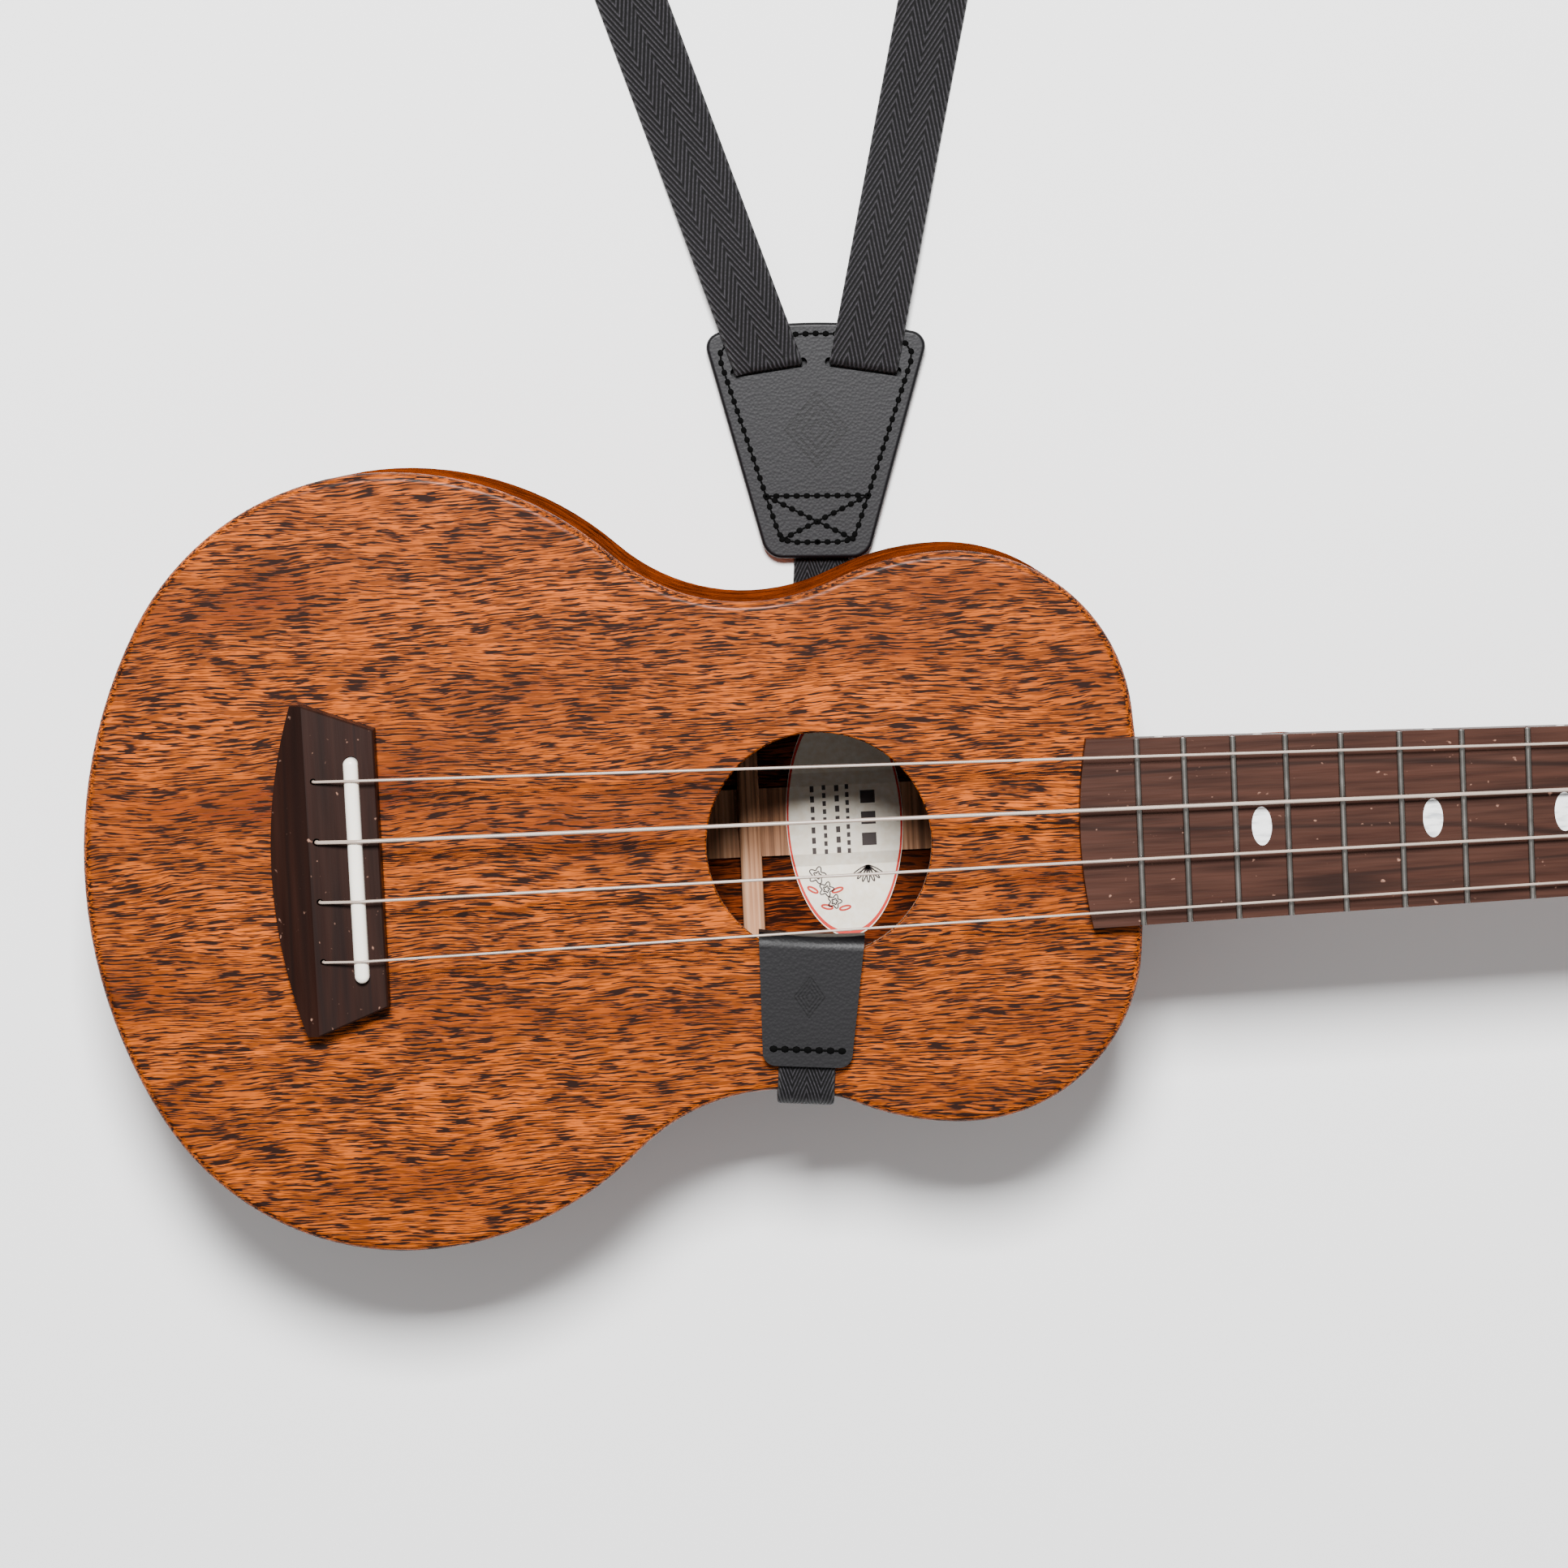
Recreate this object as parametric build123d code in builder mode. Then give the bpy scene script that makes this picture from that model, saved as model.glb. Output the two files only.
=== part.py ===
from build123d import *
from math import atan, cos, degrees, hypot, pi, radians, sin, sqrt, tan
import os

os.makedirs("parts", exist_ok=True)

# A soprano ukulele with its clip-on neck strap, lying on its back.
# X runs along the neck from the body joint (twelfth fret) to the headstock,
# Y points to the side of the fourth string, Z up. z = 0 is the table.

# ---------------------------------------------------------------- driving dimensions, mm
scale_length = 346.0

body_tail_x = -234.3
body_shoulder_x = 1.0
lower_bout_x = -165.0
lower_bout_half = 87.0
lower_bout_tail_radius = 63.0
lower_bout_waist_radius = 74.0
waist_x = -83.5
waist_half = 54.6
upper_bout_x = -40.0
upper_bout_half = 63.8
upper_bout_waist_radius = 61.0
upper_bout_neck_radius = 40.0

back_thickness = 2.0
side_depth = 58.0
side_thickness = 2.0
soundboard_thickness = 2.2
soundboard_edge_round = 2.0
back_edge_round = 1.5
lining_width = 4.0
lining_height = 6.5

sound_hole_x = -70.9
sound_hole_radius = 25.0

brace_width = 5.0
brace_height = 7.0
soundboard_brace_xs = (-104.0, -38.0)
back_brace_xs = (-196.0, -142.0, -86.5, -34.0)
back_strip_width = 16.0
back_strip_thickness = 1.5
label_length = 56.0
label_width = 27.4
label_x = -64.2
label_thickness = 0.3

bridge_front_x = -167.7
bridge_ridge_x = -183.3
bridge_rear_x = -192.3
bridge_corner_x = -186.0
bridge_front_half = 30.75
bridge_rear_half = 36.7
bridge_height = 6.5
bridge_rear_height = 2.0
bridge_patch_thickness = 1.6

saddle_x = -scale_length / 2
saddle_length = 50.0
saddle_width = 3.2
saddle_rise = 2.7
saddle_depth = 4.0

neck_half_width_joint = 20.75
neck_half_width_nut = 17.3
neck_depth_joint = 16.5
neck_depth_nut = 14.0
heel_depth = 60.0
heel_length = 42.0
heel_taper = 8.0
heel_foot_half = 12.0
heel_foot_x = 13.0
fretboard_thickness = 5.0
fretboard_end_x = -11.0
fretboard_end_bulge = 2.1
fret_count = 12
marker_frets = (5, 7, 10)
marker_width = 4.4
marker_length = 8.6
side_dot_frets = (5, 7, 10, 12)
side_dot_radius = 1.0
fret_width = 1.4
fret_height = 0.95
nut_thickness = 5.0
nut_rise = 2.8

string_names = ("g", "c", "e", "a")
string_radii = (0.305, 0.43, 0.33, 0.275)
saddle_string_ys = (20.0, 6.6, -6.7, -20.0)
nut_string_ys = (13.9, 4.6, -4.7, -14.0)
string_hole_x = -181.5

head_angle = 12.0
head_length = 112.0
head_thickness = 11.5
headplate_thickness = 1.5
head_half_width = 27.0
post_rows = (33.0, 73.0)
post_half_spacing = 17.0

gear_teeth = 14
gear_pitch_radius = 4.5
gear_face = 3.2
worm_pitch_radius = 1.7
post_radius = 3.0
button_length = 14.0

webbing_thickness = 1.6
wrap_width = 12.7
band_width = 15.9
strap_x = -71.8
strap_angle = 4.74
leather_thickness = 1.6
yoke_x = -67.6
yoke_y = 61.3
yoke_angle = 2.2
yoke_length = 54.9
yoke_half_bottom = 11.9
yoke_half_top = 26.3
yoke_slot_length = 18.0
yoke_slot_width = 2.2
yoke_slot_spread = 11.0
yoke_slot_rise = 44.5
yoke_slot_tilt = 8.5
band_angles = (17.8, -13.5)
loop_reach = 258.0
hook_top_half = 11.8
hook_bottom_half = 9.4
hook_thickness = 3.2
hook_wall = 1.8
hook_bottom_s = -49.2
hook_lip_s = -19.3

# ---------------------------------------------------------------- clearances, mm
running = 0.05          # radial, shafts that turn in holes
slot_fit = 0.02         # a side, pieces glued or pressed into slots
string_gap = 0.1        # a string beside what turns
soft_gap = 0.4          # webbing off the curved waist

# ---------------------------------------------------------------- levels, mm
back_z = webbing_thickness
side_z = back_z + back_thickness
soundboard_z = side_z + side_depth
top_z = soundboard_z + soundboard_thickness
bridge_top_z = top_z + bridge_height
saddle_top_z = bridge_top_z + saddle_rise
fretboard_top_z = top_z + fretboard_thickness
fret_top_z = fretboard_top_z + fret_height
nut_x = scale_length / 2
nut_slot_z = fret_top_z + 0.55
nut_top_z = fretboard_top_z + nut_rise
nut_back_x = nut_x + nut_thickness


def finish(piece, name):
    """Labels a finished piece and writes it as its own STEP file."""
    piece.label = name
    export_step(piece, f"parts/{name}.step")


# ---------------------------------------------------------------- body outline
def end_arc_radius(reach, offset, corner_radius):
    """Radius of an arc centred on the middle line that ends a body and meets a corner arc."""
    return (reach**2 + offset**2 - corner_radius**2) / (2 * (reach - corner_radius))


def waist_arc_radius(run, drop, bout_radius):
    """Radius of the hollow arc that is level at the waist and meets a bout arc."""
    return (run**2 + drop**2 - bout_radius**2) / (2 * (bout_radius - drop))


def between(start, end, length):
    """The point at a distance from start towards, or past, end."""
    start, end = Vector(*start), Vector(*end)
    return start + (end - start).normalized() * length


low_tail_y = lower_bout_half - lower_bout_tail_radius
low_waist_y = lower_bout_half - lower_bout_waist_radius
up_waist_y = upper_bout_half - upper_bout_waist_radius
up_neck_y = upper_bout_half - upper_bout_neck_radius

tail_radius = end_arc_radius(lower_bout_x - body_tail_x, low_tail_y, lower_bout_tail_radius)
tail_center = (body_tail_x + tail_radius, 0)
shoulder_radius = end_arc_radius(body_shoulder_x - upper_bout_x, up_neck_y, upper_bout_neck_radius)
shoulder_center = (body_shoulder_x - shoulder_radius, 0)
low_waist_radius = waist_arc_radius(
    waist_x - lower_bout_x, waist_half - low_waist_y, lower_bout_waist_radius)
up_waist_radius = waist_arc_radius(
    upper_bout_x - waist_x, waist_half - up_waist_y, upper_bout_waist_radius)

half_outline = [
    (body_tail_x, 0),
    between(tail_center, (lower_bout_x, low_tail_y), tail_radius),
    (lower_bout_x, lower_bout_half),
    between((lower_bout_x, low_waist_y), (waist_x, waist_half + low_waist_radius),
            lower_bout_waist_radius),
    (waist_x, waist_half),
    between((upper_bout_x, up_waist_y), (waist_x, waist_half + up_waist_radius),
            upper_bout_waist_radius),
    (upper_bout_x, upper_bout_half),
    between(shoulder_center, (upper_bout_x, up_neck_y), shoulder_radius),
    (body_shoulder_x, 0),
]

with BuildSketch() as body_outline:
    with BuildLine():
        arc = TangentArc(half_outline[0], half_outline[1], tangent=(0, 1))
        for corner in half_outline[2:]:
            arc = TangentArc(arc @ 1, corner, tangent=arc % 1)
        mirror(about=Plane.XZ)
    make_face()


def outline_inside(inset):
    """The body outline drawn in by an inset."""
    with BuildSketch(mode=Mode.PRIVATE) as shape:
        add(body_outline.sketch)
        if inset > 0:
            offset(amount=-inset, kind=Kind.INTERSECTION)
    return shape.sketch


side_inside = outline_inside(side_thickness)
lining_inside = outline_inside(side_thickness + lining_width)
block_width = 2 * neck_half_width_joint + 6
neck_block_x = body_shoulder_x - side_thickness - 22
tail_block_x = body_tail_x + side_thickness + 13

# ---------------------------------------------------------------- sound box
hole_radii = [radius + 0.4 for radius in string_radii]

with BuildPart() as soundboard:
    with BuildSketch(Plane.XY.offset(soundboard_z)):
        add(body_outline.sketch)
    extrude(amount=soundboard_thickness)
    fillet(soundboard.faces().sort_by(Axis.Z)[-1].edges(), soundboard_edge_round)
    with Locations((sound_hole_x, 0, top_z)):
        Hole(sound_hole_radius)
    fillet(soundboard.faces().sort_by(Axis.Z)[-1].inner_wires()[0].edges(), 0.4)
    for hole_y, hole_radius in zip(saddle_string_ys, hole_radii):
        with Locations((string_hole_x, hole_y, top_z)):
            Hole(hole_radius)
finish(soundboard.part, "soundboard")

with BuildPart() as back_plate:
    with BuildSketch(Plane.XY.offset(back_z)):
        add(body_outline.sketch)
    extrude(amount=back_thickness)
    fillet(back_plate.faces().sort_by(Axis.Z)[0].edges(), back_edge_round)
finish(back_plate.part, "back_plate")

for side_name, keep in (("bass_side", Keep.TOP), ("treble_side", Keep.BOTTOM)):
    with BuildPart() as side:
        with BuildSketch(Plane.XY.offset(side_z)):
            add(body_outline.sketch)
            add(side_inside, mode=Mode.SUBTRACT)
        extrude(amount=side_depth)
        split(bisect_by=Plane(origin=(0, 0, 0), z_dir=(0, 1, 0)), keep=keep)
    finish(side.part, side_name)

# End blocks fill the inside of the rim where the neck and the two sides meet.
block_spans = {
    "neck_block": (neck_block_x, body_shoulder_x),
    "tail_block": (body_tail_x, tail_block_x),
}
for block_name, (start_x, end_x) in block_spans.items():
    with BuildPart() as block:
        with BuildSketch(Plane.XY.offset(side_z)):
            add(side_inside)
            with Locations(((start_x + end_x) / 2, 0)):
                Rectangle(end_x - start_x, block_width, mode=Mode.INTERSECT)
        extrude(amount=side_depth)
    finish(block.part, block_name)

for lining_name, lining_z in (("top_linings", soundboard_z - lining_height),
                              ("back_linings", side_z)):
    with BuildPart() as linings:
        with BuildSketch(Plane.XY.offset(lining_z)):
            add(side_inside)
            add(lining_inside, mode=Mode.SUBTRACT)
            for start_x, end_x in block_spans.values():
                with Locations(((start_x + end_x) / 2, 0)):
                    Rectangle(end_x - start_x, block_width, mode=Mode.SUBTRACT)
        extrude(amount=lining_height)
    finish(linings.part, lining_name)

for brace_name, brace_xs, glued_z, free_side in (
        ("soundboard_braces", soundboard_brace_xs, soundboard_z, -1),
        ("back_braces", back_brace_xs, side_z, 1)):
    with BuildPart() as braces:
        with BuildSketch(Plane.XY.offset(glued_z)):
            for brace_x in brace_xs:
                with Locations((brace_x, 0)):
                    Rectangle(brace_width, 2 * lower_bout_half)
            add(lining_inside, mode=Mode.INTERSECT)
        extrude(amount=free_side * brace_height)
        free_edges = braces.edges().filter_by(Axis.Y).filter_by_position(
            Axis.Z, glued_z + free_side * brace_height - 0.1, glued_z + free_side * brace_height + 0.1)
        fillet(free_edges, brace_width / 3)
    finish(braces.part, brace_name)

with BuildPart() as back_centre_strip:
    with BuildSketch(Plane.XY.offset(side_z)):
        with Locations(((tail_block_x + neck_block_x) / 2, 0)):
            Rectangle(neck_block_x - tail_block_x, back_strip_width)
        for brace_x in back_brace_xs:
            with Locations((brace_x, 0)):
                Rectangle(brace_width, back_strip_width, mode=Mode.SUBTRACT)
    extrude(amount=back_strip_thickness)
finish(back_centre_strip.part, "back_centre_strip")

# The paper label steps up over the centre strip.
with BuildPart() as label:
    with BuildSketch(Plane.YZ.offset(label_x)):
        with BuildLine():
            step = back_strip_width / 2
            ramp = 2 * back_strip_thickness
            lower = [
                (-label_length, side_z),
                (-step - ramp, side_z),
                (-step, side_z + back_strip_thickness),
                (step, side_z + back_strip_thickness),
                (step + ramp, side_z),
                (label_length, side_z),
            ]
            upper = [(y, z + label_thickness) for y, z in reversed(lower)]
            Polyline(*lower, *upper, close=True)
        make_face()
    extrude(amount=label_width, both=True)
    with BuildSketch(Plane.XY):
        with Locations((label_x, 0)):
            Ellipse(label_width / 2, label_length / 2)
    extrude(amount=soundboard_z, mode=Mode.INTERSECT)
finish(label.part, "label")

with BuildPart() as bridge_patch:
    with BuildSketch(Plane.XY.offset(soundboard_z)):
        with Locations(((bridge_front_x + bridge_rear_x) / 2, 0)):
            Rectangle(bridge_front_x - bridge_rear_x + 6, 2 * bridge_rear_half + 8)
        for hole_y, hole_radius in zip(saddle_string_ys, hole_radii):
            with Locations((string_hole_x, hole_y)):
                Circle(hole_radius, mode=Mode.SUBTRACT)
    extrude(amount=-bridge_patch_thickness)
finish(bridge_patch.part, "bridge_patch")

# ---------------------------------------------------------------- bridge and saddle
with BuildPart() as bridge:
    with BuildSketch(Plane.XY.offset(top_z)):
        with BuildLine():
            rim = Polyline(
                (bridge_corner_x, bridge_rear_half),
                (bridge_ridge_x, bridge_rear_half),
                (bridge_front_x, bridge_front_half),
                (bridge_front_x, -bridge_front_half),
                (bridge_ridge_x, -bridge_rear_half),
                (bridge_corner_x, -bridge_rear_half))
            ThreePointArc(rim @ 1, (bridge_rear_x, 0), rim @ 0)
        make_face()
    extrude(amount=bridge_height)
    with BuildSketch(Plane.XZ.offset(-bridge_rear_half - 1)):
        with BuildLine():
            Polyline(
                (bridge_ridge_x, bridge_top_z),
                (bridge_rear_x, top_z + bridge_rear_height),
                (bridge_rear_x, bridge_top_z + 1),
                (bridge_ridge_x, bridge_top_z + 1),
                close=True)
        make_face()
    extrude(amount=2 * bridge_rear_half + 2, mode=Mode.SUBTRACT)
    platform = bridge.faces().filter_by(Axis.Z).sort_by(Axis.Z)[-1]
    chamfer(platform.edges().sort_by(Axis.X)[1:], 0.35)
    with BuildSketch(Plane.XY.offset(bridge_top_z - saddle_depth)):
        with Locations((saddle_x, 0)):
            SlotOverall(saddle_length + 0.5, saddle_width + 2 * slot_fit, rotation=90)
    extrude(amount=saddle_depth + 1, mode=Mode.SUBTRACT)
    for hole_y, hole_radius in zip(saddle_string_ys, hole_radii):
        with Locations((string_hole_x, hole_y, bridge_top_z)):
            Hole(hole_radius)
finish(bridge.part, "bridge")

with BuildPart() as saddle:
    with BuildSketch(Plane.XY.offset(bridge_top_z - saddle_depth)):
        with Locations((saddle_x, 0)):
            SlotOverall(saddle_length, saddle_width, rotation=90)
    extrude(amount=saddle_depth + saddle_rise)
    fillet(saddle.faces().sort_by(Axis.Z)[-1].edges(), 0.42 * saddle_width)
finish(saddle.part, "saddle")

# ---------------------------------------------------------------- neck and headstock
head = Plane(
    origin=(nut_back_x, 0, top_z),
    x_dir=(cos(radians(head_angle)), 0, -sin(radians(head_angle))),
    z_dir=(sin(radians(head_angle)), 0, cos(radians(head_angle))))
post_places = {
    "g": (post_rows[0], post_half_spacing),
    "c": (post_rows[1], post_half_spacing),
    "e": (post_rows[1], -post_half_spacing),
    "a": (post_rows[0], -post_half_spacing),
}
bushing_radius = 4.0
bushing_depth = 8.0
bushing_flange_radius = 5.2
bushing_flange = 1.2
plate_thickness = 0.9
screw_places = ((-12.5, 0), (9.5, 0))
screw_shank_radius = 0.8
screw_length = 6.0


def neck_half_width(x):
    """Half the width of the neck and fretboard at a distance from the body joint."""
    taper = (neck_half_width_joint - neck_half_width_nut) / nut_x
    return neck_half_width_joint - taper * x


def fret_x(number):
    """Where a fret stands: the string is shortened by a twelfth root of two each time."""
    return saddle_x + scale_length * 2 ** (-number / 12)


def neck_section(x, depth):
    """A half-round section of the neck, hanging from its flat top."""
    half = neck_half_width(x)
    with BuildSketch(Plane(origin=(x, 0, top_z), x_dir=(0, 1, 0), z_dir=(1, 0, 0)),
                     mode=Mode.PRIVATE) as section:
        with BuildLine():
            top = Line((half, 0), (-half, 0))
            ThreePointArc(top @ 1, (0, -depth), top @ 0)
        make_face()
    return section.sketch


with BuildSketch(head) as head_outline:
    with BuildLine():
        root_half = neck_half_width(nut_back_x)
        flare = TangentArc((0, root_half), (17, head_half_width - 3.5), tangent=(1, 0.15))
        edge = Line(flare @ 1, (head_length - 14, head_half_width + 1.5))
        ThreePointArc(edge @ 1, (head_length - 3, 0.6 * head_half_width), (head_length, 0))
        Line((0, 0), (0, root_half))
        mirror(about=Plane.XZ)
    make_face()

with BuildPart() as shaft:
    add(neck_section(-6, neck_depth_joint))
    add(neck_section(nut_back_x, neck_depth_nut))
    loft(ruled=True)

# The heel is a tapering tongue, swept up in front to meet the shaft.
with BuildPart() as neck:
    with BuildSketch(Plane.XY.offset(top_z)):
        with Locations((heel_length / 2 - 2, 0)):
            Rectangle(heel_length + 4, 2 * neck_half_width_joint - 1)
    extrude(amount=-heel_depth, taper=heel_taper)
    fillet(neck.edges().filter_by(lambda edge: edge.center().X > 10 and abs(edge.center().Y) > 5
                                  and edge.length > 0.9 * heel_depth), 0.8 * heel_foot_half)
    with BuildSketch(Plane.XZ):
        with BuildLine():
            foot = Line((heel_foot_x, top_z - heel_depth - 1), (heel_foot_x, top_z - heel_depth + 6))
            TangentArc(foot @ 1, (heel_length, top_z - neck_depth_joint + 2), tangent=(0.05, 1))
            Polyline((heel_length, top_z - neck_depth_joint + 2), (heel_length, top_z + 1),
                     (-6, top_z + 1), (-6, top_z - heel_depth - 1), foot @ 0)
        make_face()
    extrude(amount=2 * neck_half_width_joint, both=True, mode=Mode.INTERSECT)
    add(shaft.part)
    extrude(head_outline.sketch, amount=-head_thickness)
    with BuildSketch(Plane.XY):
        add(body_outline.sketch)
    extrude(amount=top_z + 1, mode=Mode.SUBTRACT)
    for post_u, post_v in post_places.values():
        with Locations(head.location * Location((post_u, post_v, 0))):
            Cylinder(bushing_radius, 2 * (bushing_depth - headplate_thickness), mode=Mode.SUBTRACT)
            Cylinder(post_radius + 0.15, 3 * head_thickness, mode=Mode.SUBTRACT)
        for screw_u, screw_v in screw_places:
            with Locations(head.location * Location(
                    (post_u + screw_u, post_v + screw_v, -head_thickness))):
                Cylinder(screw_shank_radius + slot_fit, 2 * (screw_length - plate_thickness),
                         mode=Mode.SUBTRACT)
finish(neck.part, "neck")

with BuildPart() as headplate:
    extrude(head_outline.sketch, amount=headplate_thickness)
    for post_u, post_v in post_places.values():
        with Locations(head.location * Location((post_u, post_v, 0))):
            Cylinder(bushing_radius, 4 * headplate_thickness, mode=Mode.SUBTRACT)
finish(headplate.part, "headplate")

# ---------------------------------------------------------------- fretboard
marker_depth = 1.2
tang_width = 0.5
tang_depth = 1.6

with BuildPart() as fretboard:
    with BuildSketch(Plane.XY.offset(top_z)):
        with BuildLine():
            end_half = neck_half_width(fretboard_end_x)
            board = Polyline(
                (fretboard_end_x, -end_half), (nut_x, -neck_half_width(nut_x)),
                (nut_x, neck_half_width(nut_x)), (fretboard_end_x, end_half))
            ThreePointArc(board @ 1, (fretboard_end_x - fretboard_end_bulge, 0), board @ 0)
        make_face()
    extrude(amount=fretboard_thickness)
    for number in range(1, fret_count + 1):
        with Locations((fret_x(number), 0, fretboard_top_z)):
            Box(tang_width + 2 * slot_fit, 4 * neck_half_width_joint, 2 * tang_depth,
                mode=Mode.SUBTRACT)
    for number in marker_frets:
        with BuildSketch(Plane.XY.offset(fretboard_top_z)):
            with Locations(((fret_x(number) + fret_x(number - 1)) / 2, 0)):
                Ellipse(marker_width / 2 + slot_fit, marker_length / 2 + slot_fit)
        extrude(amount=-marker_depth, mode=Mode.SUBTRACT)
    for number in side_dot_frets:
        dot_x = (fret_x(number) + fret_x(number - 1)) / 2
        with Locations(Plane(origin=(dot_x, neck_half_width(dot_x), top_z + fretboard_thickness / 2),
                             z_dir=(0, 1, 0))):
            Cylinder(side_dot_radius + slot_fit, 2 * marker_depth, mode=Mode.SUBTRACT)
finish(fretboard.part, "fretboard")

with BuildPart() as frets:
    for number in range(1, fret_count + 1):
        with BuildSketch(Plane(origin=(fret_x(number), 0, fretboard_top_z), x_dir=(1, 0, 0),
                               z_dir=(0, -1, 0))):
            with BuildLine():
                crown = ThreePointArc((-fret_width / 2, 0), (0, fret_height), (fret_width / 2, 0))
                Line(crown @ 0, crown @ 1)
            make_face()
            with Locations((0, -tang_depth / 2)):
                Rectangle(tang_width, tang_depth)
        extrude(amount=neck_half_width(fret_x(number)) - 0.15, both=True)
finish(frets.part, "frets")

with BuildPart() as position_markers:
    for number in marker_frets:
        with BuildSketch(Plane.XY.offset(fretboard_top_z)):
            with Locations(((fret_x(number) + fret_x(number - 1)) / 2, 0)):
                Ellipse(marker_width / 2, marker_length / 2)
        extrude(amount=-marker_depth)
finish(position_markers.part, "position_markers")

with BuildPart() as side_dots:
    for number in side_dot_frets:
        dot_x = (fret_x(number) + fret_x(number - 1)) / 2
        with Locations(Plane(origin=(dot_x, neck_half_width(dot_x), top_z + fretboard_thickness / 2),
                             z_dir=(0, -1, 0))):
            Cylinder(side_dot_radius, marker_depth, align=(Align.CENTER, Align.CENTER, Align.MIN))
finish(side_dots.part, "side_dots")

# ---------------------------------------------------------------- strings and nut
incoming_w = 4.0        # height of a string above the headstock face where it meets its post
knot_radius = 1.3


def touch_point(post, nut_point, radius):
    """Where a string from the nut first touches the inner side of its post, in the head plane."""
    away = Vector(nut_point.X - post[0], nut_point.Y - post[1])
    turn = degrees(atan(sqrt(away.length**2 - radius**2) / radius))
    if post[1] > 0:
        turn = -turn
    return Vector(*post) + away.normalized().rotate(Axis.Z, -turn) * radius


string_paths = {}
for name, radius, saddle_y, nut_y in zip(
        string_names, string_radii, saddle_string_ys, nut_string_ys):
    at_nut = Vector(nut_x + 0.8, nut_y, nut_slot_z + radius + 0.07)
    local_nut = head.to_local_coords(at_nut)
    touch = touch_point(post_places[name], local_nut, post_radius + radius + string_gap)
    string_paths[name] = [
        Vector(string_hole_x, saddle_y, soundboard_z - bridge_patch_thickness - knot_radius),
        Vector(string_hole_x, saddle_y, bridge_top_z + 1.0),
        Vector(saddle_x, saddle_y, saddle_top_z + radius + 0.07),
        at_nut,
        head.from_local_coords(Vector(touch.X, touch.Y, incoming_w)),
    ]

for name, radius in zip(string_names, string_radii):
    path_points = string_paths[name]
    with BuildPart() as string:
        with BuildLine() as route:
            FilletPolyline(*path_points, radius=(1.0, 6.0, 5.0))
        with BuildSketch(Plane(origin=path_points[0], z_dir=(0, 0, 1))):
            Circle(radius)
        sweep(path=route.line)
        with Locations(path_points[0] - Vector(0, 0, 0.1)):
            Sphere(knot_radius)
    finish(string.part, f"string_{name}")

with BuildPart() as nut:
    with BuildSketch(Plane.XY.offset(top_z)):
        with Locations((nut_x + nut_thickness / 2, 0)):
            Rectangle(nut_thickness, 2 * neck_half_width(nut_x + nut_thickness / 2))
    extrude(amount=nut_top_z - top_z)
    fillet(nut.edges().filter_by(Axis.Y).group_by(Axis.Z)[-1], 1.0)
    for name, radius in zip(string_names, string_radii):
        over_nut, at_post = string_paths[name][3:]
        slot_width = 2 * (radius + string_gap)
        with Locations((nut_x, over_nut.Y, nut_slot_z)):
            Box(2.2, slot_width, nut_rise, mode=Mode.SUBTRACT,
                align=(Align.CENTER, Align.CENTER, Align.MIN))
        run = (at_post - over_nut).normalized()
        rise = (Vector(0, 0, 1) - run * run.Z).normalized()
        with Locations(Plane(origin=over_nut - rise * (radius + 0.07), x_dir=run, z_dir=rise)):
            Box(2 * nut_thickness, slot_width, nut_rise + 2, mode=Mode.SUBTRACT,
                align=(Align.MIN, Align.CENTER, Align.MIN))
finish(nut.part, "nut")

# ---------------------------------------------------------------- tuning machines
# Each machine hangs on the back of the headstock: a plate with two ears carries a worm that
# turns a gear screwed to the foot of the string post. The worm lies on the nut side.
gear_module = 2 * gear_pitch_radius / gear_teeth
worm_lead = pi * gear_module
worm_radius = worm_pitch_radius + 0.55
worm_root_radius = worm_pitch_radius - 0.7
worm_length = 4 * worm_lead
shaft_radius = 1.0
ear_thickness = 1.2
ear_gap = worm_length / 2 + 0.3
plate_w = -head_thickness - plate_thickness
gear_w = plate_w - 1.0 - gear_face / 2
worm_u = -(gear_pitch_radius + worm_pitch_radius)
post_top_w = 11.0
string_hole_w = 8.4
stub_radius = 1.75
gear_screw_radius = 0.9
gear_screw_depth = 4.0
wind_count = 3
button_start = head_half_width + 3.0 - post_half_spacing
collar_gap = 0.1


def machine_plane(name):
    """The post's frame: X along the headstock, Z out of its face."""
    origin = head.from_local_coords(Vector(*post_places[name], 0))
    return Plane(origin=origin, x_dir=head.x_dir, z_dir=head.z_dir)


def worm_plane(name):
    """The worm's frame: Z outward along its shaft, X towards the gear."""
    machine = machine_plane(name)
    outward = machine.y_dir if post_places[name][1] > 0 else -machine.y_dir
    return Plane(origin=machine.from_local_coords(Vector(worm_u, 0, gear_w)),
                 x_dir=machine.x_dir, z_dir=outward)


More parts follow.
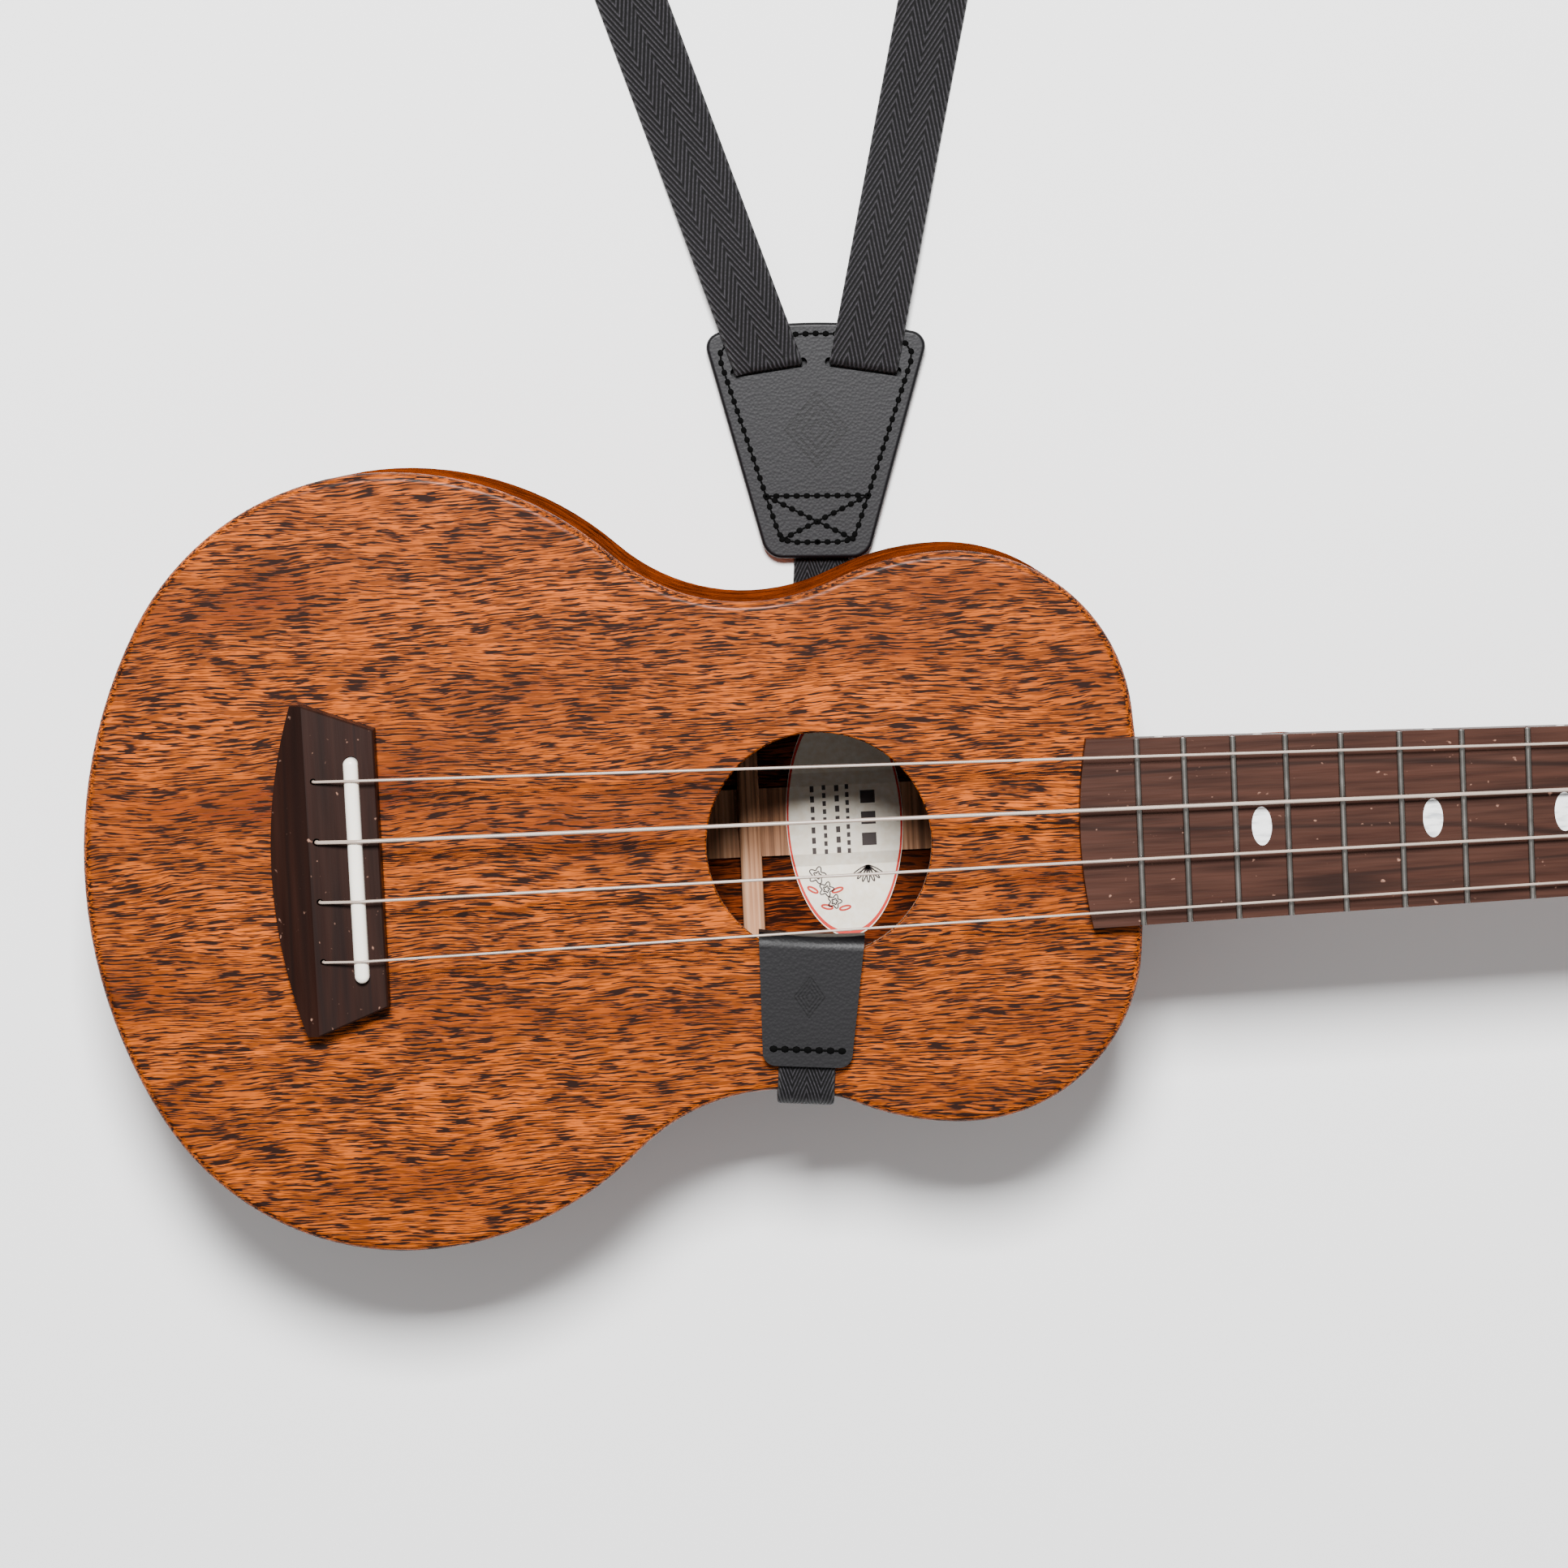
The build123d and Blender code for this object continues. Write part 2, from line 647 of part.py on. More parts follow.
with BuildPart() as plates:
    for name in string_names:
        outward = 1 if post_places[name][1] > 0 else -1
        with BuildSketch(machine_plane(name).offset(-head_thickness)):
            with Locations(((screw_places[0][0] + screw_places[1][0]) / 2, 0)):
                RectangleRounded(screw_places[1][0] - screw_places[0][0] + 6, 9, 3)
            with Locations((worm_u, 0)):
                Rectangle(4.4, 2 * (ear_gap + ear_thickness))
            with Locations(*screw_places):
                Circle(screw_shank_radius + slot_fit, mode=Mode.SUBTRACT)
            Circle(post_radius + running, mode=Mode.SUBTRACT)
        extrude(amount=-plate_thickness)
        for ear_side in (-1, 1):
            ear_y = ear_side * (ear_gap + ear_thickness / 2)
            with BuildSketch(worm_plane(name).offset(ear_y - ear_thickness / 2)):
                ear_foot = gear_w - plate_w
                Circle(2.2)
                with Locations((0, outward * ear_foot / 2)):
                    Rectangle(4.4, abs(ear_foot) + 0.2)
                Circle(shaft_radius + running, mode=Mode.SUBTRACT)
            extrude(amount=ear_thickness)
finish(plates.part, "tuner_plates")

with BuildPart() as bushings:
    for name in string_names:
        with BuildSketch(machine_plane(name).offset(headplate_thickness)):
            Circle(bushing_flange_radius)
            Circle(post_radius + running, mode=Mode.SUBTRACT)
        extrude(amount=bushing_flange)
        with BuildSketch(machine_plane(name).offset(headplate_thickness)):
            Circle(bushing_radius)
            Circle(post_radius + running, mode=Mode.SUBTRACT)
        extrude(amount=-bushing_depth)
finish(bushings.part, "tuner_bushings")

with BuildPart() as screws:
    for name in string_names:
        for place in screw_places:
            with BuildSketch(machine_plane(name).offset(plate_w)):
                with Locations(place):
                    Circle(2 * screw_shank_radius)
            extrude(amount=-1.0)
            with BuildSketch(machine_plane(name).offset(plate_w)):
                with Locations(place):
                    Circle(screw_shank_radius)
            extrude(amount=screw_length)
finish(screws.part, "tuner_screws")

# The parts that turn are drawn once, in their own frames, and then set in place.
with BuildPart() as post_shape:
    with Locations((0, 0, plate_w - collar_gap)):
        Cylinder(post_radius, post_top_w - plate_w + collar_gap,
                 align=(Align.CENTER, Align.CENTER, Align.MIN))
    fillet(post_shape.edges().sort_by(Axis.Z)[-1], 0.7)
    with Locations((0, 0, gear_w + gear_face / 2)):
        Cylinder(post_radius - 0.5, plate_w - collar_gap - gear_w - gear_face / 2,
                 align=(Align.CENTER, Align.CENTER, Align.MIN))
    with Locations((0, 0, gear_w - gear_face / 2 + 0.1)):
        Cylinder(stub_radius, gear_face - 0.1, align=(Align.CENTER, Align.CENTER, Align.MIN))
    with Locations((0, 0, gear_w - gear_face / 2)):
        Cylinder(gear_screw_radius + slot_fit, 2 * gear_screw_depth, mode=Mode.SUBTRACT)
    with Locations((0, 0, string_hole_w)):
        Cylinder(max(string_radii) + 0.15, 3 * post_radius, rotation=(0, 90, 0), mode=Mode.SUBTRACT)

tooth = 360 / gear_teeth
twist = degrees(gear_face / gear_pitch_radius * worm_lead / (2 * pi * worm_pitch_radius))


def gear_section(level, turn):
    """The gear's teeth at a level; a gap between two teeth points along X when turn is 0."""
    rows = ((gear_pitch_radius - 0.75, 0.29), (gear_pitch_radius, 0.19), (gear_pitch_radius + 0.5, 0.08))
    with BuildSketch(Plane.XY.offset(level), mode=Mode.PRIVATE) as section:
        with BuildLine():
            corners = []
            for number in range(gear_teeth):
                middle = turn + (number + 0.5) * tooth
                for radius, share in rows:
                    corners.append(Vector(radius, 0).rotate(Axis.Z, middle - share * tooth))
                for radius, share in reversed(rows):
                    corners.append(Vector(radius, 0).rotate(Axis.Z, middle + share * tooth))
            Polyline(*corners, close=True)
        make_face()
    return section.sketch


with BuildPart() as gear_shape:
    add(gear_section(-gear_face / 2, -twist / 2))
    add(gear_section(gear_face / 2, twist / 2))
    loft(ruled=True)
    Cylinder(stub_radius + slot_fit, 2 * gear_face, mode=Mode.SUBTRACT)

with BuildPart() as worm_shape:
    Cylinder(worm_root_radius + 0.05, worm_length)
    with BuildLine() as thread_line:
        Helix(pitch=worm_lead, height=2 * worm_lead, radius=worm_root_radius,
              center=(0, 0, -worm_lead))
    with BuildSketch(Plane(origin=thread_line.line @ 0, x_dir=(1, 0, 0),
                           z_dir=thread_line.line % 0)):
        with BuildLine():
            Polyline((0, -0.55), (worm_radius - worm_root_radius, -0.22),
                     (worm_radius - worm_root_radius, 0.22), (0, 0.55), close=True)
        make_face()
    sweep(path=thread_line.line, is_frenet=True)
    with Locations((0, 0, -ear_gap - ear_thickness - 0.6)):
        Cylinder(shaft_radius, button_start + 5 + ear_gap + ear_thickness + 0.6,
                 align=(Align.CENTER, Align.CENTER, Align.MIN))

with BuildPart() as button_shape:
    with BuildSketch(Plane.XY.offset(button_start)):
        Ellipse(3.4, 3.0)
    with BuildSketch(Plane.XY.offset(button_start + 4)):
        Ellipse(6.6, 3.4)
    with BuildSketch(Plane.XY.offset(button_start + button_length)):
        Ellipse(7.4, 3.2)
    loft(ruled=True)
    fillet(button_shape.edges().sort_by(Axis.Z)[-1], 1.2)
    with Locations((0, 0, button_start)):
        Cylinder(shaft_radius + slot_fit, 10 + 2 * slot_fit, mode=Mode.SUBTRACT)

with BuildPart() as gear_screw_shape:
    with Locations((0, 0, gear_w - gear_face / 2)):
        Cylinder(2.3, 1.1, align=(Align.CENTER, Align.CENTER, Align.MAX))
        Cylinder(gear_screw_radius, gear_screw_depth - 0.2,
                 align=(Align.CENTER, Align.CENTER, Align.MIN))

for name, radius in zip(string_names, string_radii):
    machine = machine_plane(name)
    finish(post_shape.part.moved(machine.location), f"tuner_post_{name}")
    finish(gear_shape.part.moved(machine.offset(gear_w).location), f"tuner_gear_{name}")
    finish(gear_screw_shape.part.moved(machine.location), f"gear_screw_{name}")
    finish(worm_shape.part.moved(worm_plane(name).location), f"tuner_worm_{name}")
    finish(button_shape.part.moved(worm_plane(name).location), f"tuner_button_{name}")
    with BuildPart() as winds:
        for turn in range(1, wind_count + 1):
            with Locations((0, 0, incoming_w + turn * (2 * radius + 0.04) + string_gap)):
                Torus(post_radius + radius + slot_fit, radius)
        with Locations((0, 0, string_hole_w)):
            Cylinder(radius, 2 * post_radius + 3, rotation=(0, 90, 0))
    finish(winds.part.moved(machine.location), f"string_winds_{name}")

# ---------------------------------------------------------------- clip-on strap
strap = Plane(
    origin=(strap_x, 0, 0),
    x_dir=(sin(radians(strap_angle)), cos(radians(strap_angle)), 0),
    z_dir=(cos(radians(strap_angle)), -sin(radians(strap_angle)), 0))
strap_flat = Plane(origin=(strap_x, 0, 0), x_dir=strap.z_dir, z_dir=(0, 0, 1))
yoke = Plane(origin=(yoke_x, yoke_y, 0),
             x_dir=(cos(radians(yoke_angle)), -sin(radians(yoke_angle)), 0), z_dir=(0, 0, 1))
yoke_z = leather_thickness
yoke_front_thickness = 3.0
yoke_top_z = yoke_z + yoke_front_thickness
tail_length = 10.0
x_box_length = 16.0


def waist_wall(x):
    """Half width of the body where the webbing passes the waist."""
    return waist_half + up_waist_radius - sqrt(up_waist_radius**2 - (x - waist_x) ** 2)


def wall_reach(across):
    """How far along the strap the treble side reaches under one edge of the webbing."""
    x = strap_x - waist_half * strap.x_dir.X + across * strap.z_dir.X
    return (x - strap_x) * strap.x_dir.X - waist_wall(x) * strap.x_dir.Y


wall_s = min(wall_reach(-wrap_width / 2), wall_reach(wrap_width / 2))
half_webbing = webbing_thickness / 2
wrap_start_s = strap.to_local_coords(yoke.from_local_coords(Vector(0, x_box_length, 0))).X - 0.5
rise_s = wall_s - soft_gap - half_webbing
wrap_top = top_z + half_webbing + slot_fit
wrap_points = [
    (wrap_start_s, half_webbing),
    (rise_s, half_webbing),
    (rise_s, wrap_top),
    (hook_bottom_s + 6, wrap_top),
]

with BuildPart() as wrap_webbing:
    with BuildSketch(strap):
        with BuildLine() as wrap_line:
            FilletPolyline(*wrap_points, radius=2.6)
        trace(wrap_line.line, line_width=webbing_thickness)
    extrude(amount=wrap_width / 2, both=True)
finish(wrap_webbing.part, "wrap_webbing")

# The hook lies on the soundboard, folds through the sound hole and grips its edge.
with BuildPart() as strap_hook:
    hook_top = top_z + hook_thickness
    lip_top = soundboard_z - 0.4
    pocket_top = wrap_top + half_webbing + slot_fit
    with BuildSketch(strap):
        with BuildLine():
            roof = Polyline((hook_bottom_s, pocket_top), (hook_bottom_s, hook_top),
                            (hook_lip_s - 3.6, hook_top))
            bend = TangentArc(roof @ 1, (hook_lip_s, hook_top - 3.6), tangent=(1, 0))
            Polyline(bend @ 1, (hook_lip_s, lip_top - hook_wall), (hook_lip_s - 10, lip_top - hook_wall),
                     (hook_lip_s - 10, lip_top), (hook_lip_s - hook_wall, lip_top),
                     (hook_lip_s - hook_wall, top_z + slot_fit), (hook_bottom_s + 6.2, top_z + slot_fit),
                     (hook_bottom_s + 6.2, pocket_top), roof @ 0)
        make_face()
    extrude(amount=hook_top_half + 2, both=True)
    with BuildSketch(strap_flat):
        with BuildLine():
            left = FilletPolyline((-hook_top_half, hook_lip_s - 0.3), (-hook_bottom_half - 0.4, hook_bottom_s),
                                  (hook_bottom_half + 0.4, hook_bottom_s), (hook_top_half, hook_lip_s - 0.3),
                                  radius=3.0)
            ThreePointArc(left @ 1, (0, hook_lip_s - 0.9), left @ 0)
        make_face()
    extrude(amount=hook_top + 1, mode=Mode.INTERSECT)
finish(strap_hook.part, "strap_hook")

with BuildSketch(yoke) as yoke_outline:
    with BuildLine():
        sides = FilletPolyline(
            (yoke_half_top - 3.5, yoke_length - 2.2), (yoke_half_top, yoke_length - 3.4),
            (yoke_half_bottom, 0), (-yoke_half_bottom, 0), (-yoke_half_top, yoke_length - 3.4),
            (3.5 - yoke_half_top, yoke_length - 2.2), radius=(3.6, 5.0, 5.0, 3.6))
        ThreePointArc(sides @ 1, (0, yoke_length), sides @ 0)
    make_face()

slot_planes = []
for slot_side, band_angle in zip((-1, 1), band_angles):
    tilt = radians(slot_side * yoke_slot_tilt + yoke_angle)
    slot_planes.append(Plane(
        origin=yoke.from_local_coords(Vector(slot_side * yoke_slot_spread, yoke_slot_rise, 0)),
        x_dir=(cos(tilt), -sin(tilt), 0), z_dir=(0, 0, 1)))

with BuildPart() as yoke_back:
    extrude(yoke_outline.sketch, amount=leather_thickness)
    with BuildSketch(strap_flat):
        with Locations((0, wrap_start_s - x_box_length)):
            Rectangle(wrap_width + 0.6, 2 * x_box_length + 0.6)
    extrude(amount=leather_thickness, mode=Mode.SUBTRACT)
finish(yoke_back.part, "yoke_back")

with BuildPart() as yoke_front:
    extrude(yoke_outline.sketch.moved(Location((0, 0, yoke_z))), amount=yoke_front_thickness)
    fillet(yoke_front.faces().sort_by(Axis.Z)[-1].edges(), 0.9)
    for slot_plane in slot_planes:
        with BuildSketch(slot_plane.offset(yoke_z)):
            RectangleRounded(yoke_slot_length, yoke_slot_width, 1.0)
        extrude(amount=yoke_front_thickness, mode=Mode.SUBTRACT)
        with BuildSketch(slot_plane.offset(yoke_z)):
            with Locations((0, -tail_length / 2)):
                Rectangle(band_width + 1, tail_length + 1)
        extrude(amount=webbing_thickness + slot_fit, mode=Mode.SUBTRACT)
finish(yoke_front.part, "yoke_front")

# The neck webbing rises through the two slots, lies flat on the table, turns onto its edge
# and closes in a round bend beyond.
band_top = yoke_top_z + webbing_thickness + slot_fit
ramp_start = 14.0
ramp_end = 62.0
twist_length = 62.0
twist_steps = 6

band_lines = []
for slot_plane, band_angle in zip(slot_planes, band_angles):
    heading = Vector(-sin(radians(band_angle)), cos(radians(band_angle)), 0)
    band_lines.append((slot_plane.origin, heading))
(left_start, left_heading), (right_start, right_heading) = band_lines
cross = left_heading.X * right_heading.Y - left_heading.Y * right_heading.X
offset_between = right_start - left_start
apex_run = (offset_between.X * right_heading.Y - offset_between.Y * right_heading.X) / cross
apex = left_start + left_heading * apex_run
half_spread = radians((band_angles[0] - band_angles[1]) / 2)
turn_radius = loop_reach * sin(half_spread)
tangent_reach = loop_reach * cos(half_spread)
turn_center = apex + (left_heading + right_heading).normalized() * loop_reach

with BuildPart() as neck_webbing:
    for slot_plane, (start, heading) in zip(slot_planes, band_lines):
        flat_end = tangent_reach - twist_length - (start - apex).length
        with BuildSketch(Plane(origin=start, x_dir=heading, z_dir=heading.cross(Vector(0, 0, 1)))):
            with BuildLine():
                ramp = [(-6, yoke_top_z + slot_fit), (ramp_start, yoke_top_z + slot_fit),
                        (ramp_end, 0), (flat_end, 0)]
                Polyline(*ramp, *[(run, level + webbing_thickness) for run, level in reversed(ramp)],
                         close=True)
            make_face()
        extrude(amount=band_width / 2, both=True)
    for slot_plane in slot_planes:
        with BuildSketch(slot_plane.offset(-1)):
            with Locations((0, -half_webbing - 10)):
                Rectangle(2 * yoke_slot_length, 20)
        extrude(amount=2 * band_top, mode=Mode.SUBTRACT)
    for slot_plane in slot_planes:
        with BuildSketch(slot_plane.offset(yoke_z + slot_fit)):
            Rectangle(band_width, webbing_thickness)
        extrude(amount=band_top - yoke_z - slot_fit)
        with BuildSketch(slot_plane.offset(yoke_z + slot_fit)):
            with Locations((0, -tail_length / 2)):
                Rectangle(band_width, tail_length)
        extrude(amount=webbing_thickness)
    for side, (start, heading) in zip((1, -1), band_lines):
        for step in range(twist_steps + 1):
            lean = radians(90 * step / twist_steps)
            run = tangent_reach - twist_length * (1 - step / twist_steps)
            level = half_webbing * cos(lean) + band_width / 2 * sin(lean)
            across = heading.cross(Vector(0, 0, 1))
            with BuildSketch(Plane(origin=apex + heading * run + Vector(0, 0, level),
                                   x_dir=across * cos(lean) + Vector(0, 0, side * sin(lean)),
                                   z_dir=heading)):
                Rectangle(band_width, webbing_thickness)
        loft(ruled=True)
    with BuildSketch(Plane.XY):
        with BuildLine():
            first = apex + left_heading * tangent_reach
            last = apex + right_heading * tangent_reach
            far = turn_center + (left_heading + right_heading).normalized() * turn_radius
            bend = ThreePointArc((first.X, first.Y), (far.X, far.Y), (last.X, last.Y))
        trace(bend, line_width=webbing_thickness)
    extrude(amount=band_width)
finish(neck_webbing.part, "neck_webbing")

wrap_length = sum(edge.length for edge in wrap_line.edges())
loop_length = 2 * (tangent_reach - (left_start - apex).length + tail_length) + bend.length
print(f"wrap webbing {wrap_length:.0f} mm, neck webbing about {loop_length:.0f} mm")
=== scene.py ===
"""The looks of a soprano ukulele with a clip-on neck strap: woods, metals, printed label, leather,
stitching and herringbone webbing, built round the fixed frame of its solid parts."""

import math

import bpy
import numpy as np
from bpy.props import FloatProperty, FloatVectorProperty
from mathutils import Matrix, Vector


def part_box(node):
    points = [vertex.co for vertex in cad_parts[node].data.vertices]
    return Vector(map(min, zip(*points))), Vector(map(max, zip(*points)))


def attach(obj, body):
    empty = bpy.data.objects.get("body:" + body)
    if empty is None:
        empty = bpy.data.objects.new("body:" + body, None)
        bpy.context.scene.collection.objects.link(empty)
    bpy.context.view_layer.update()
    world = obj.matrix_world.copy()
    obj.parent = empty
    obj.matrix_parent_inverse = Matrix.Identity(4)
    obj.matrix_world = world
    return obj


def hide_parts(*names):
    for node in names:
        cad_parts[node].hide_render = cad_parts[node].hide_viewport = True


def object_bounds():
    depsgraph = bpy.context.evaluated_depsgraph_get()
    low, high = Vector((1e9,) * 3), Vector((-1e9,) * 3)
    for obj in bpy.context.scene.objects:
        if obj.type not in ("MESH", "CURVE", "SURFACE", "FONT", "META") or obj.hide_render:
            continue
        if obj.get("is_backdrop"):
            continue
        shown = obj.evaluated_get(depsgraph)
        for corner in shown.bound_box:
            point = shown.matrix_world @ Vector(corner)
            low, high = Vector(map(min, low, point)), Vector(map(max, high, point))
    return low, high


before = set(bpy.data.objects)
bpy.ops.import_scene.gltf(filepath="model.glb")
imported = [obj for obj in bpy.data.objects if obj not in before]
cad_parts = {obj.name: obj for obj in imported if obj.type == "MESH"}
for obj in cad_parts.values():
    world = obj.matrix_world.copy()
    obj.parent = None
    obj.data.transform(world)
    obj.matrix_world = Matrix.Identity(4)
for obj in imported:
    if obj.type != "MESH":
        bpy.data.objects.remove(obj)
CAD_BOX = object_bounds()

bl_info = {
    "name": "Ukulele Workshop",
    "version": (1, 0, 0),
    "blender": (4, 5, 0),
    "location": "View3D > Sidebar > Ukulele",
    "description": "Finishes a soprano ukulele and makes its strap webbing, stitching and label print",
    "category": "Object",
}

MM = 0.001
BODY = "instrument"

# Resting levels and places, taken from the solid parts, in metres.
YOKE_TOP_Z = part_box("yoke_front")[1][2]
LABEL_LOW, LABEL_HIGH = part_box("label")
LABEL_Z = LABEL_HIGH[2]
LABEL_X = (LABEL_LOW[0] + LABEL_HIGH[0]) / 2

# The strap's own plan: where the leather yoke stands, how it leans, and where the bands go.
YOKE_ORIGIN = (-67.6 * MM, 61.3 * MM)
YOKE_ANGLE = math.radians(2.2)
YOKE_SLOT = (11.0 * MM, 44.5 * MM)
YOKE_SLOT_TILT = math.radians(8.5)
BAND_ANGLES = (math.radians(17.8), math.radians(-13.5))
BAND_WIDTH = 15.9 * MM
LOOP_REACH = 258.0 * MM
WEBBING = 1.6 * MM
WRAP_WIDTH = 12.7 * MM
STRAP_X = -71.8 * MM
STRAP_ANGLE = math.radians(4.74)
HOOK_CENTRE_S = -33.5 * MM
HOOK_STITCH_S = -45.4 * MM
HOOK_STITCH_HALF = 7.6 * MM
YOKE_MARK_RISE = 30.0 * MM

# A band comes up through its slot and turns to its heading over SLOT_TURN. It sinks to the table
# between the two distances of RAMP. TWIST is measured back from the bend: there it turns on edge.
BAND_SLACK = 0.25 * MM
SLOT_DEPTH = 1.2 * MM
RAMP = (13.0 * MM, 66.0 * MM)
TWIST = (70.0 * MM, 4.0 * MM)
SLOT_TURN = 16.0 * MM
RISER_RUN = 0.8 * MM

# The wrap webbing's corners, and its end inside the hook.
WRAP_CORNER = 2.6 * MM
WRAP_END_S = -44.0 * MM

# Print lies just above the paper, which steps down beside the back's centre strip.
INK_LIFT = 0.06 * MM
PAPER_STEP = 1.5 * MM
INK_LINE = 0.3 * MM


def linear(hex_colour):
    """An sRGB hex colour as linear RGBA."""
    value = hex_colour.lstrip("#")
    channels = [int(value[i:i + 2], 16) / 255 for i in (0, 2, 4)]
    return [c / 12.92 if c <= 0.04045 else ((c + 0.055) / 1.055) ** 2.4 for c in channels] + [1.0]


# ---------------------------------------------------------------- settings
class UkuleleFinish(bpy.types.PropertyGroup):
    """Colours and sizes that a maker would change."""

    mahogany: FloatVectorProperty(
        name="Mahogany", description="Colour of the wood between the pores", subtype="COLOR",
        size=4, min=0, max=1, default=linear("#a54e0c"))
    mahogany_pore: FloatVectorProperty(
        name="Mahogany pore", description="Colour of the filled pores", subtype="COLOR",
        size=4, min=0, max=1, default=linear("#1e0a04"))
    rosewood: FloatVectorProperty(
        name="Rosewood", description="Ground colour of bridge and fretboard", subtype="COLOR",
        size=4, min=0, max=1, default=linear("#35211a"))
    leather: FloatVectorProperty(
        name="Leather", description="Colour of the yoke's face", subtype="COLOR",
        size=4, min=0, max=1, default=linear("#141316"))
    webbing: FloatVectorProperty(
        name="Webbing", description="Colour of the webbing's yarn", subtype="COLOR",
        size=4, min=0, max=1, default=linear("#454247"))


class UkuleleStitching(bpy.types.PropertyGroup):
    """Sizes of the sewing thread."""

    stitch_pitch: FloatProperty(
        name="Stitch pitch", description="Distance from hole to hole", unit="LENGTH",
        default=2.35 * MM, min=1 * MM, max=8 * MM)
    thread: FloatProperty(
        name="Thread", description="Thickness of the thread", unit="LENGTH",
        default=0.55 * MM, min=0.2 * MM, max=2 * MM)


# ---------------------------------------------------------------- material helpers
def add_node(tree, kind, values=None, links=None, **attributes):
    """Adds a node, sets its attributes and socket values, and links sockets to other nodes' outputs."""
    made = tree.nodes.new(kind)
    for name, value in attributes.items():
        setattr(made, name, value)
    for socket, value in (values or {}).items():
        made.inputs[socket].default_value = value
    for socket, source in (links or {}).items():
        tree.links.new(source, made.inputs[socket])
    return made


def start_material(name, **sockets):
    """An empty material with one Principled shader, whose constant sockets are set directly."""
    material = bpy.data.materials.new(name)
    material.use_nodes = True
    tree = material.node_tree
    tree.nodes.clear()
    shader = add_node(tree, "ShaderNodeBsdfPrincipled", values=sockets)
    add_node(tree, "ShaderNodeOutputMaterial", links={"Surface": shader.outputs[0]})
    return material, tree, shader


def math_node(tree, operation, first, second=None):
    """The result of one arithmetic step on sockets or plain numbers."""
    made = tree.nodes.new("ShaderNodeMath")
    made.operation = operation
    for index, value in enumerate((first, second)):
        if isinstance(value, (int, float)):
            made.inputs[index].default_value = value
        elif value is not None:
            tree.links.new(value, made.inputs[index])
    return made.outputs[0]


def ramp(tree, source, stops):
    """A colour ramp through (position, colour) stops."""
    made = add_node(tree, "ShaderNodeValToRGB", links={0: source})
    elements = made.color_ramp.elements
    while len(elements) < len(stops):
        elements.new(0.5)
    for element, (position, colour) in zip(elements, stops):
        element.position = position
        element.color = colour
    return made.outputs[0]


def mix(tree, factor, first, second, blend="MIX"):
    """Two colours mixed by a factor."""
    made = add_node(tree, "ShaderNodeMix", data_type="RGBA", blend_type=blend)
    for index, value in ((0, factor), (6, first), (7, second)):
        if isinstance(value, (int, float, list, tuple)):
            made.inputs[index].default_value = value
        else:
            tree.links.new(value, made.inputs[index])
    return made.outputs[2]


def stretched(tree, lengths, turn=(0, 0, 0), source=None, offset=(0, 0, 0)):
    """Object coordinates measured in units of the given lengths in millimetres."""
    if source is None:
        source = add_node(tree, "ShaderNodeTexCoord").outputs["Object"]
    scale = [1 / (length * MM) for length in lengths]
    mapping = add_node(tree, "ShaderNodeMapping", vector_type="POINT",
                       values={"Scale": scale, "Rotation": turn, "Location": offset},
                       links={"Vector": source})
    return mapping.outputs[0]


def noise(tree, vector, detail=2.0, roughness=0.5, distortion=0.0):
    """Noise of unit cell size."""
    made = add_node(tree, "ShaderNodeTexNoise",
                    values={"Scale": 1.0, "Detail": detail, "Roughness": roughness,
                            "Distortion": distortion}, links={"Vector": vector})
    return made.outputs["Fac"]


def bump(tree, shader, height, distance, strength=1.0):
    """Bump of a real depth in metres."""
    made = add_node(tree, "ShaderNodeBump", values={"Strength": strength, "Distance": distance},
                    links={"Height": height})
    tree.links.new(made.outputs[0], shader.inputs["Normal"])


